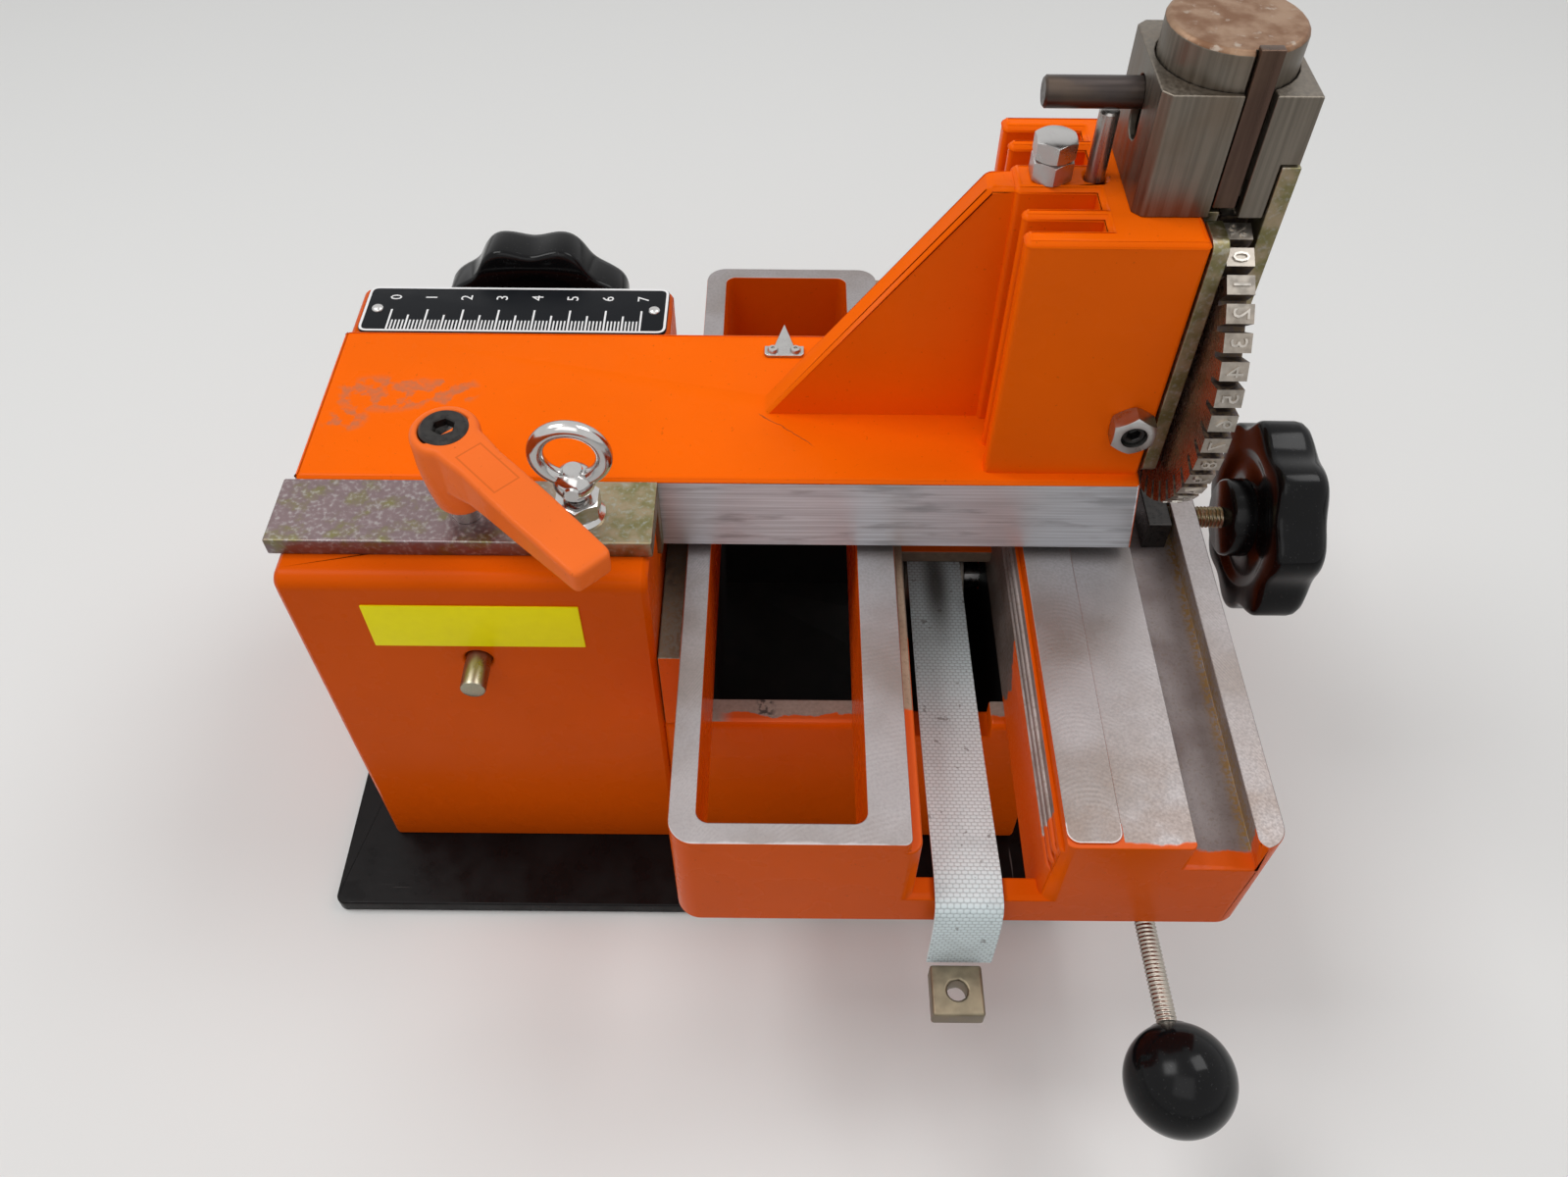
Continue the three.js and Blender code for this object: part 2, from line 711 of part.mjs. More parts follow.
// Pointer: a small plate whose tip reaches over the scale, with two screws
function makePointer() {
  const middle = columnLeft - pointer.fromColumn;
  const half = pointer.plate / 2;
  const plateRear = armRear - pointer.inset;
  const plateFront = plateRear - pointer.depth;
  const outline = [
    [middle - half + pointer.corner, plateFront],
    [middle + half - pointer.corner, plateFront],
    [middle + half, plateFront + pointer.corner],
    [middle + half, plateRear],
    [middle + pointer.tipBase / 2, plateRear],
    [middle, armRear + pointer.tip],
    [middle - pointer.tipBase / 2, plateRear],
    [middle - half, plateRear],
    [middle - half, plateFront + pointer.corner],
  ];
  const screwY = plateFront + pointer.depth / 2;
  const places = { left: middle - pointerScrew.spacing / 2, right: middle + pointerScrew.spacing / 2 };
  const holes = Object.values(places).map((x) =>
    bar("z", pointerScrew.shank + boreFit, [x, screwY], armTop - overrun, armTop + overrun, smallSides),
  );
  add("pointer", cut(prism("z", outline, armTop, armTop + pointer.thickness), ...holes), "brightSteel");
  const profile = [
    [0, 0],
    [pointerScrew.shank, 0],
    [pointerScrew.shank, pointer.thickness],
    [pointerScrew.radius, pointer.thickness],
    [pointerScrew.radius, pointer.thickness + pointerScrew.head / 2],
    [pointerScrew.radius / 2, pointer.thickness + pointerScrew.head],
    [0, pointer.thickness + pointerScrew.head],
  ];
  for (const [place, x] of Object.entries(places))
    add("pointer_screw_" + place, turned("z", profile, [x, screwY], armTop, smallSides), "brightSteel");
}

// Ram guide: a square block with a round bore, a front groove for the key, a slot for the striker pin
// and a rebate for the outer wheel plate. Its two upright edges over the arm are chamfered.
const keyFront = blockFront + boreFit;
const keyRear = keyFront + keyBar.depth;

const ramFlatTop = columnTop + ram.flatHeight;

// What lies beyond the flat that the ram and its bore have on the wheel's outer side
function beyondFlat(grow, top) {
  return box(
    [ramX + ram.flat + grow, ramX + 2 * ram.radius],
    [armCentre - 2 * ram.radius, armCentre + 2 * ram.radius],
    [columnTop - 2 * ram.stroke, top],
  );
}

function makeRamGuide() {
  const x = [blockLeft, blockRight];
  const y = [blockFront, blockFront + block.depth];
  const outline = [
    [x[0] + block.chamfer, y[0]],
    [x[1], y[0]],
    [x[1], y[1]],
    [x[0] + block.chamfer, y[1]],
    [x[0], y[1] - block.chamfer],
    [x[0], y[0] + block.chamfer],
  ];
  const body = prism("z", outline, columnTop, blockTop);
  const round = bar("z", ram.radius + boreFit, [ramX, armCentre], columnTop - overrun, blockTop + overrun);
  const bore = round.subtract(beyondFlat(clearance, ramFlatTop - ram.stroke - clearance));
  const rebate = box(
    [rebateLeft, x[1] + overrun],
    [y[0] - overrun, y[1] + overrun],
    [columnTop - overrun, columnTop + outerPlate.above + clearance],
  );
  const keyway = box(
    [ramX + clearance, ramX + clearance + keyBar.groove],
    [blockFront - overrun, armCentre],
    [columnTop - overrun, blockTop + overrun],
  );
  const slot = prism(
    "x",
    slotOutline([armCentre, strikerHeight - ram.stroke, strikerHeight], striker.radius + clearance),
    blockLeft - overrun,
    ramX,
  );
  const screwEnd = rebateLeft - sideScrew.bite - boreFit;
  const holes = sideScrewPlaces().map(([, along, up]) =>
    bar("x", sideScrew.radius + boreFit, [along, up], screwEnd, blockRight + overrun, smallSides),
  );
  add("ram_guide", cut(body, bore, rebate, keyway, slot, ...holes), "darkSteel");
}

// Ram: a round bar with a tongue that bears on the wheel, flats for its key and beside the outer wheel plate,
// and a pocket for its spring
const springX = ramX - returnSpring.fromAxis;
const keyLeft = ramX + 2 * clearance;

function makeRam() {
  const body = turned(
    "z",
    [
      [0, ramBottom],
      [ram.radius, ramBottom],
      [ram.radius, ramTop - ram.edge],
      [ram.radius - ram.edge, ramTop],
      [0, ramTop],
    ],
    [ramX, armCentre],
    0,
  );
  const foot = box(
    [wheelLeft, wheelLeft + tongue.width],
    [armCentre - tongue.depth / 2, armCentre + tongue.depth / 2],
    [wheelTop + clearance, ramBottom + overrun],
  );
  const keySeat = box(
    [keyLeft - boreFit, keyLeft + keyBar.width + boreFit],
    [blockFront - ram.radius, keyRear + boreFit / 2],
    [ramBottom - overrun, ramTop + overrun],
  );
  const pinHole = bar(
    "x",
    striker.radius + boreFit,
    [armCentre, strikerHeight],
    ramX - ram.radius - overrun,
    ramX - ram.radius + striker.bite + boreFit,
  );
  const pocket = bar(
    "z",
    returnSpring.radius + clearance,
    [springX, armCentre],
    ramBottom - overrun,
    ramBottom + returnSpring.pocket,
    smallSides,
  );
  const shaped = cut(join(body, foot), beyondFlat(0, ramFlatTop), keySeat, pinHole, pocket);
  add("ram", shaped, "darkSteel");
  const springTop = ramBottom + returnSpring.pocket - clearance;
  add(
    "ram_spring",
    bar("z", returnSpring.radius, [springX, armCentre], columnTop + clearance, springTop, smallSides),
    "brightSteel",
  );
  const keyHeights = [columnTop + keyBar.low, ramTop + keyBar.proud];
  add("ram_key", box([keyLeft, keyLeft + keyBar.width], [keyFront, keyRear], keyHeights), "darkSteel");
  const pinEnd = ramX - ram.radius + striker.bite;
  add(
    "striker_pin",
    bar("x", striker.radius, [armCentre, strikerHeight], blockLeft - striker.reach, pinEnd),
    "darkSteel",
  );
}

// Step pin, and the stop bolt with its nut under the striker pin
function makeColumnPins() {
  const pinTop = columnTop + stepPin.rise;
  add(
    "step_pin",
    bar("z", stepPin.radius, [stepPinX, armCentre], pinTop - stepPin.length, pinTop, smallSides),
    "brightSteel",
  );
  const centre = [stopBoltX, armCentre];
  const nutTop = columnTop + stopNut.height;
  const headTop = nutTop + stopBolt.head;
  const shank = bar("z", stopBolt.radius, centre, columnTop - stopBolt.shank, nutTop + overrun, smallSides);
  add("stop_bolt", join(shank, hexBar("z", stopBolt.across, centre, nutTop, headTop)), "brightSteel");
  const bore = bar("z", stopBolt.radius + boreFit, centre, columnTop - overrun, nutTop + overrun, smallSides);
  add("stop_nut", cut(hexBar("z", stopNut.across, centre, columnTop, nutTop), bore), "brightSteel");
}

// Plates on both sides of the type wheel, slotted for the axle's stroke, the inner one notched for the key
function sideScrewPlaces() {
  const height = columnTop + outerPlate.above - sideScrew.drop;
  return [
    ["front", armCentre - sideScrew.spacing / 2, height],
    ["rear", armCentre + sideScrew.spacing / 2, height],
  ];
}

function makeWheelPlates() {
  const slot = slotOutline([armCentre, wheelHeight - ram.stroke, wheelHeight], axle.radius + clearance);
  const innerOutline = roundedRectangle(
    [columnFront, columnFront + column.depth],
    [armTop, columnTop - clearance],
    innerPlate.corner,
  );
  const inner = prism("x", innerOutline, innerPlateLeft, innerPlateRight);
  const innerSlot = prism("x", slot, innerPlateLeft - overrun, innerPlateRight + overrun);
  const keyNotch = box(
    [innerPlateLeft - overrun, innerPlateRight + overrun],
    [keyFront - clearance, keyRear + clearance],
    [columnTop + keyBar.low - ram.stroke - clearance, columnTop + overrun],
  );
  add("inner_wheel_plate", cut(inner, innerSlot, keyNotch), "zinc");
  const half = block.depth / 2 + outerPlate.proud;
  const foot = wheelHeight - ram.stroke - outerPlate.below + half;
  const head = columnTop + outerPlate.above;
  const outline = new THREE.Shape();
  outline.absarc(armCentre, foot, half, Math.PI, 2 * Math.PI);
  outline.lineTo(armCentre + half, head);
  outline.lineTo(armCentre - half, head);
  const holeRadius = sideScrew.radius + boreFit;
  const seatRadius = sideScrew.headRadius + clearance;
  const headFrom = outerPlateRight - sideScrew.head;
  const holes = sideScrewPlaces().flatMap(([, y, z]) => [
    bar("x", holeRadius, [y, z], outerPlateLeft - overrun, outerPlateRight, smallSides),
    bar("x", seatRadius, [y, z], headFrom, outerPlateRight + overrun, smallSides),
  ]);
  const outer = prism("x", outline, outerPlateLeft, outerPlateRight);
  const outerSlot = prism("x", slot, outerPlateLeft - overrun, outerPlateRight + overrun);
  add("outer_wheel_plate", cut(outer, outerSlot, ...holes), "zinc");
  const profile = [
    [0, rebateLeft - sideScrew.bite],
    [sideScrew.radius, rebateLeft - sideScrew.bite],
    [sideScrew.radius, headFrom],
    [sideScrew.headRadius, headFrom],
    [sideScrew.headRadius, outerPlateRight],
    [0, outerPlateRight],
  ];
  for (const [place, y, z] of sideScrewPlaces())
    add("outer_plate_screw_" + place, turned("x", profile, [y, z], 0, smallSides), "blackOxide");
}

// Type wheel: fingers round the rim, each with room for one letter
function makeTypeWheel() {
  const step = (2 * Math.PI) / fingers;
  const halfFinger = wheel.fingerWidth / 2 / wheel.radius;
  const rootRadius = wheel.radius - wheel.fingerDepth;
  const halfRoot = wheel.fingerWidth / 2 / rootRadius;
  const outline = [];
  for (let i = 0; i < fingers; i++) {
    const middle = -Math.PI / 2 + i * step;
    const corners = [
      [rootRadius, middle - halfRoot],
      [wheel.radius, middle - halfFinger],
      [wheel.radius, middle + halfFinger],
      [rootRadius, middle + halfRoot],
    ];
    for (const [radius, angle] of corners)
      outline.push([armCentre + radius * Math.cos(angle), wheelHeight + radius * Math.sin(angle)]);
  }
  const disc = prism("x", outline, wheelLeft, wheelRight);
  const hubRight = wheelRight + wheel.hubWidth;
  const centre = [armCentre, wheelHeight];
  const hub = bar("x", wheel.hubRadius, centre, wheelRight - overrun, hubRight);
  const bore = bar("x", axle.radius + boreFit, centre, wheelLeft - overrun, hubRight + overrun);
  add("type_wheel", cut(join(disc, hub), bore), "machinedIron");
  const axleFrom = innerPlateLeft + clearance;
  const headFrom = outerPlateRight + clearance;
  const axleProfile = [
    [0, axleFrom],
    [axle.radius, axleFrom],
    [axle.radius, headFrom],
    [axle.headRadius, headFrom],
    [axle.headRadius, headFrom + axle.head],
    [0, headFrom + axle.head],
  ];
  add("wheel_axle", turned("x", axleProfile, centre, 0), "brightSteel");
}

function makeDetent() {
  const centre = [detentX, detentHeight];
  const nutFront = columnFront - detent.nut;
  const boreRadius = detent.radius + boreFit;
  const bore = bar("y", boreRadius, centre, nutFront - overrun, columnFront + overrun, smallSides);
  add("detent_nut", cut(hexBar("y", detent.across, centre, nutFront, columnFront), bore), "brightSteel");
  const grubFront = columnFront - detent.proud;
  const grub = bar("y", detent.radius, centre, grubFront, columnFront + detent.depth, smallSides);
  const socket = hexBar("y", detent.socket, centre, grubFront - overrun, grubFront + detent.socketDepth);
  add("detent_screw", cut(grub, socket), "blackOxide");
}

// Table: its end view carried along Y, then opened and rounded in plan
function tableOutline() {
  const ridgeTop = tableTop - ridge.depth;
  const ridgePoints = [];
  for (let i = ridges - 1; i >= 0; i--) {
    const low = ridgeTop - i * ridge.spacing - ridge.height;
    ridgePoints.push([channelRight, low], [channelRight + ridge.cut, low]);
    ridgePoints.push([channelRight + ridge.cut, low + ridge.height], [channelRight, low + ridge.height]);
  }
  const lower = ridgePoints.slice(0, -1);
  const ledge = tableTop - rail.ledgeDrop;
  return [
    [tableLeft, tableBottom],
    [tableRight, tableBottom],
    [tableRight, tableTop],
    [grooveRight, tableTop],
    [grooveRight + groove.undercut, grooveFloor],
    [grooveLeft, grooveFloor],
    [grooveLeft, tableTop - strip.raise],
    [stripLeft, tableTop - strip.raise],
    [stripLeft, ridgeTop],
    ...lower.reverse(),
    [channelRight, channelFloor],
    [channelLeft, channelFloor],
    [channelLeft, ledge],
    [innerRailRight, ledge],
    [innerRailRight, tableTop],
    [tableLeft, tableTop],
  ];
}

// The waste outside a rounded upright corner of the table, inX and inY pointing into the iron
function cornerWaste([x, y], [inX, inY], radius, from) {
  const centre = [x + inX * radius, y + inY * radius];
  const spanX = [x - inX * overrun, centre[0]].sort((a, b) => a - b);
  const spanY = [y - inY * overrun, centre[1]].sort((a, b) => a - b);
  const upper = tableTop + overrun;
  return box(spanX, spanY, [from, upper]).subtract(bar("z", radius, centre, from - overrun, upper + overrun));
}

function makeTable() {
  const body = prism("y", tableOutline(), tableFront, tableRear);
  const plan = prism(
    "z",
    roundedRectangle([tableLeft, tableRight], [tableFront, tableRear], table.corner),
    tableBottom - overrun,
    tableTop + overrun,
  );
  const opening = prism(
    "z",
    roundedRectangle(
      [openingLeft, openingRight],
      [tableFront + table.frontWall, tableRear - table.rearWall],
      rail.openingCorner,
    ),
    tableBottom - overrun,
    tableTop + overrun,
  );
  const pad = prism(
    "z",
    roundedRectangle(
      [stripLeft, stripRight],
      [tableFront + strip.setBack, tableRear - strip.setBack],
      strip.corner,
    ),
    tableTop - strip.raise - overrun,
    tableTop,
  );
  const slot = box(
    [channelLeft, channelRight],
    [slotFront, slotRear],
    [tableBottom - overrun, channelFloor + overrun],
  );
  const relief = box(
    [channelLeft, channelRight],
    [slotRear - overrun, slotRear + channel.relief],
    [tableBottom - overrun, channelFloor - channel.web],
  );
  const screwHole = bar(
    "x",
    sideScrewShaft.radius + boreFit,
    [jawY, sideScrewHeight],
    grooveRight - overrun,
    tableRight + overrun,
  );
  const ledge = tableTop - rail.ledgeDrop;
  const corners = [
    cornerWaste([innerRailRight, tableRear], [-1, -1], rail.rearRound, ledge),
    cornerWaste([innerRailRight, tableFront], [-1, 1], rail.frontRound, ledge),
    cornerWaste([channelLeft, tableFront], [-1, 1], channel.leftRound, channelFloor),
    cornerWaste([channelRight, tableFront], [1, 1], channel.rightRound, channelFloor),
    cornerWaste([grooveLeft, tableFront], [-1, 1], groove.flatRound, grooveFloor),
    cornerWaste([grooveRight, tableFront], [1, 1], groove.wallRound, grooveFloor),
  ];
  const frame = cut(body.intersect(plan), opening, slot, relief, screwHole, ...corners);
  add("table_casting", join(frame, pad), "machinedIron");
}

// Clamp jaw, pushed across the groove by the side screw
function lobedOutline(centre) {
  const count = lobes * lobeSteps;
  const points = [];
  for (let i = 0; i < count; i++) {
    const angle = (2 * Math.PI * i) / count;
    const radius = knob.radius - knob.lobe * Math.cos(lobes * angle);
    points.push([centre[0] + radius * Math.cos(angle), centre[1] + radius * Math.sin(angle)]);
  }
  return points;
}

// A lobed knob whose hub faces the machine, with a blind bore for its screw.
function knobSolid(axis, centre, hubStart, hubLength, boreRadius, boreDepth) {
  const discStart = hubStart + hubLength;
  const discEnd = discStart + knob.thickness;
  const disc = prism(axis, lobedOutline(centre), discStart, discEnd, knob.edge);
  const dish = bar(axis, knob.dishRadius, centre, discStart - overrun, discStart + knob.dish);
  const hub = bar(axis, knob.hubRadius, centre, hubStart, discStart + knob.dish + overrun);
  const boreEnd = hubStart + boreDepth + boreFit;
  const bore = bar(axis, boreRadius + boreFit, centre, hubStart - overrun, boreEnd, smallSides);
  return cut(join(cut(disc, dish), hub), bore);
}

function makeSideClamp() {
  const centre = [jawY, sideScrewHeight];
  const jawLeft = jawRight - jaw.width;
  const body = box(
    [jawLeft, jawRight],
    [jawY - jaw.length / 2, jawY + jaw.length / 2],
    [grooveFloor + clearance, grooveFloor + clearance + jaw.height],
  );
  const pocketRadius = sideScrewShaft.radius + clearance;
  const pocket = bar("x", pocketRadius, centre, jawRight - jaw.pocket, jawRight + overrun, smallSides);
  add("clamp_jaw", cut(body, pocket), "blackOxide");
  const hubStart = tableRight + sideScrewShaft.reach + jaw.travel;
  const screwStart = jawRight - jaw.pocket + clearance;
  const shaft = bar("x", sideScrewShaft.radius, centre, screwStart, hubStart + sideHub, smallSides);
  add("side_screw", shaft, "zinc");
  const knobMade = knobSolid("x", centre, hubStart, sideHub, sideScrewShaft.radius, sideHub);
  add("side_knob", knobMade, "blackPlastic");
}

function makeRearClamp() {
  const centre = [rearScrewX, rearScrewHeight];
  const hubStart = rear + clearance;
  const boreDepth = rearHub + knob.dish;
  add(
    "rear_screw",
    bar("y", rearScrew.radius, centre, rearWallFront + clearance, hubStart + boreDepth, smallSides),
    "zinc",
  );
  add("rear_knob", knobSolid("y", centre, hubStart, rearHub, rearScrew.radius, boreDepth), "blackPlastic");
}

// Clamp lever on its stud, turned to where it was left
function makeClampLever() {
  const spacerTop = keeperTop + lever.spacer;
  const hubTopHeight = lever.height;
  const studProfile = [
    [0, tower.frontTop - stud.depth + clearance],
    [stud.radius, tower.frontTop - stud.depth + clearance],
    [stud.radius, keeperTop],
    [lever.spacerRadius, keeperTop],
    [lever.spacerRadius, spacerTop],
    [stud.radius, spacerTop],
    [stud.radius, spacerTop + lever.height / 2],
    [0, spacerTop + lever.height / 2],
  ];
  add("lever_stud", turned("z", studProfile, [studX, studY], 0, smallSides), "brightSteel");

  const place = new THREE.Group();
  place.position.set(studX, studY, spacerTop + clearance);
  place.rotation.z = THREE.MathUtils.degToRad(leverTurn);
  root.add(place);
  const hub = turned(
    "z",
    [
      [0, 0],
      [lever.hubFoot, 0],
      [lever.hubTop, hubTopHeight / 2],
      [lever.hubTop, hubTopHeight - lever.edge],
      [lever.hubTop - lever.edge, hubTopHeight],
      [0, hubTopHeight],
    ],
    [0, 0],
    0,
  );
  const sideView = prism(
    "y",
    [
      [0, hubTopHeight - lever.rootThickness],
      [lever.arm, hubTopHeight - lever.fall - lever.tipThickness],
      [lever.arm, hubTopHeight - lever.fall],
      [0, hubTopHeight],
    ],
    -lever.armRoot,
    lever.armRoot,
  );
  const plan = prism(
    "z",
    [
      [0, -lever.armRoot / 2],
      [lever.arm, -lever.armTip / 2],
      [lever.arm, lever.armTip / 2],
      [0, lever.armRoot / 2],
    ],
    0,
    hubTopHeight + overrun,
    lever.edge,
  );
  const capSeat = hubTopHeight - leverCap.seat;
  const capBore = bar("z", leverCap.radius + boreFit, [0, 0], capSeat, hubTopHeight + overrun);
  const studBore = bar("z", lever.boreRadius, [0, 0], -overrun, hubTopHeight / 2 + clearance, smallSides);
  add("clamp_lever", cut(join(hub, sideView.intersect(plan)), capBore, studBore), "orangePaint", place);
  const cap = bar("z", leverCap.radius, [0, 0], capSeat + clearance, capSeat + clearance + leverCap.height);
  const socket = hexBar(
    "z",
    leverCap.across,
    [0, 0],
    capSeat + clearance + leverCap.height - leverCap.socketDepth,
    capSeat + clearance + leverCap.height + overrun,
  );
  add("lever_screw", cut(cap, socket), "blackOxide", place);
}

function makeEyeBolt() {
  const nutTop = keeperTop + eyeNut.washerHeight + eyeNut.height;
  const ringHeight = keeperTop + eye.height;
  const ring = new THREE.TorusGeometry(eye.ring, eye.wire, smallSides, roundSides);
  ring.rotateX(Math.PI / 2);
  ring.translate(eyeX, studY, ringHeight);
  const collar = turned(
    "z",
    [
      [0, tower.frontTop - eye.depth + clearance],
      [eye.shank, tower.frontTop - eye.depth + clearance],
      [eye.shank, nutTop + eye.neck],
      [eye.collar, nutTop + eye.neck],
      [eye.collar, nutTop + eye.neck + eye.collarHeight / 2],
      [eye.shank, nutTop + eye.neck + eye.collarHeight],
      [eye.shank, ringHeight - eye.ring],
      [0, ringHeight - eye.ring],
    ],
    [eyeX, studY],
    0,
    smallSides,
  );
  add("eye_bolt", join(solid(ring), collar), "brightSteel");
  const washerTop = keeperTop + eyeNut.washerHeight;
  const washer = bar("z", eyeNut.washer, [eyeX, studY], keeperTop, washerTop);
  const nut = hexBar("z", eyeNut.across, [eyeX, studY], washerTop - overrun / 4, nutTop);
  const boreRadius = eye.shank + boreFit;
  const bore = bar("z", boreRadius, [eyeX, studY], keeperTop - overrun, nutTop + overrun, smallSides);
  add("eye_bolt_nut", cut(join(washer, nut), bore), "brightSteel");
}

function makeFrontFittings() {
  const x0 = towerLeft + label.fromLeft;
  const labelBody = box(
    [x0, x0 + label.width],
    [front - label.thickness, front],
    [label.bottom, label.bottom + label.height],
  );
  add("label_plate", labelBody, "yellowFilm");
  const profile = [
    [0, -frontPin.proud],
    [frontPin.radius - frontPin.edge, -frontPin.proud],
    [frontPin.radius, -frontPin.proud + frontPin.edge],
    [frontPin.radius, frontPin.depth],
    [0, frontPin.depth],
  ];
  add("front_pin", turned("y", profile, [pinX, frontPin.height], front), "zinc");
}

// Band drum on its axle in the bed
function makeDrum() {
  const core = drum.height;
  const profile = [
    [0, drumLeft],
    [drum.flange, drumLeft],
    [drum.flange, drumLeft + drum.flangeWidth],
    [drum.radius, drumLeft + drum.flangeWidth],
    [drum.radius, drumRight - drum.flangeWidth],
    [drum.flange, drumRight - drum.flangeWidth],
    [drum.flange, drumRight],
    [0, drumRight],
  ];
  const bore = bar("x", drum.bore, [drumY, core], drumLeft - overrun, drumRight + overrun);
  add("band_drum", cut(turned("x", profile, [drumY, core], 0), bore), "darkSteel");
  const axleRight = cavityRight + drumAxle.bite;
  add("drum_axle", bar("x", drumAxle.radius, [drumY, core], postLeft, axleRight), "brightSteel");
}

// Band: from the drum's top through the slot, over the front bridge, and down to its nut block.
// Its side view is a middle line with half the thickness on each side.
const bandHigh = channelFloor + band.lift + band.thickness / 2;
const bandStart = [drumY, drum.height + drum.radius + band.lift + band.thickness / 2];
const bandOverRear = [slotFront, bandHigh];
const bandOverFront = [tableFront, bandHigh];
const bandEnd = [tableFront - band.bend - band.droop / 2, bandHigh - band.fall];

function bandMiddle() {
  const path = new THREE.CurvePath();
  const start = new THREE.Vector2(...bandStart);
  const over = new THREE.Vector2(...bandOverRear);
  const middle = start.clone().lerp(over, sag.atShare);
  middle.y -= 2 * sag.depth;
  path.add(new THREE.QuadraticBezierCurve(start, middle, over));
  path.add(new THREE.LineCurve(over, new THREE.Vector2(...bandOverFront)));
  path.add(
    new THREE.CubicBezierCurve(
      new THREE.Vector2(...bandOverFront),
      new THREE.Vector2(tableFront - band.bend, bandHigh),
      new THREE.Vector2(tableFront - band.bend - band.thickness, bandHigh - band.bend),
      new THREE.Vector2(...bandEnd),
    ),
  );
  return path;
}

function makeBand() {
  const path = bandMiddle();
  const samples = [];
  for (const [index, curve] of path.curves.entries()) {
    const steps = index === 1 ? 1 : roundSides / 4;
    const points = curve.getPoints(steps);
    samples.push(...(index ? points.slice(1) : points));
  }
  const sides = samples.map((point, i) => {
    const before = samples[Math.max(i - 1, 0)];
    const after = samples[Math.min(i + 1, samples.length - 1)];
    const along = after.clone().sub(before).normalize();
    const out = new THREE.Vector2(-along.y, along.x).multiplyScalar(band.thickness / 2);
    return [point.clone().add(out), point.clone().sub(out)];
  });
  const outline = [...sides.map(([a]) => [a.x, a.y]), ...sides.map(([, b]) => [b.x, b.y]).reverse()];
  const lean = new THREE.Matrix4().makeShear(0, 0, band.lean, 0, 0, 0);
  const straight = prism("x", outline.reverse(), bandLeft - band.lean * drumY, bandRight - band.lean * drumY);
  add("draw_band", straight.transform(lean.elements), "webbing");
  const blockRear = bandEnd[0] - band.thickness;
  const x0 = (bandLeft + bandRight - nutBlock.width) / 2 + band.lean * (bandEnd[0] - drumY) - nutBlock.aside;
  const top = bandEnd[1] + band.thickness;
  const body = box(
    [x0, x0 + nutBlock.width],
    [blockRear - nutBlock.depth, blockRear],
    [top - nutBlock.height, top],
  );
  const bore = bar(
    "z",
    nutBlock.bore,
    [x0 + nutBlock.width / 2, blockRear - nutBlock.depth / 2],
    top - nutBlock.height - overrun,
    top + overrun,
    smallSides,
  );
  add("band_nut_block", cut(body, bore), "brightSteel");
}

// Feed rack: saw teeth along the bed's right side
function makeRack() {
  const y0 = front + rack.fromFront;
  const pitch = rack.length / feedTeeth;
  const outline = [
    [y0, rackTop - rack.height],
    [y0 + rack.length, rackTop - rack.height],
  ];
  for (let i = feedTeeth; i > 0; i--) {
    outline.push([y0 + i * pitch, rackTop]);
    outline.push([y0 + (i - 1) * pitch, rackTop - rack.tooth]);
  }
  add("feed_rack", prism("x", outline, bedRight, bedRight + rack.width), "darkSteel");
}

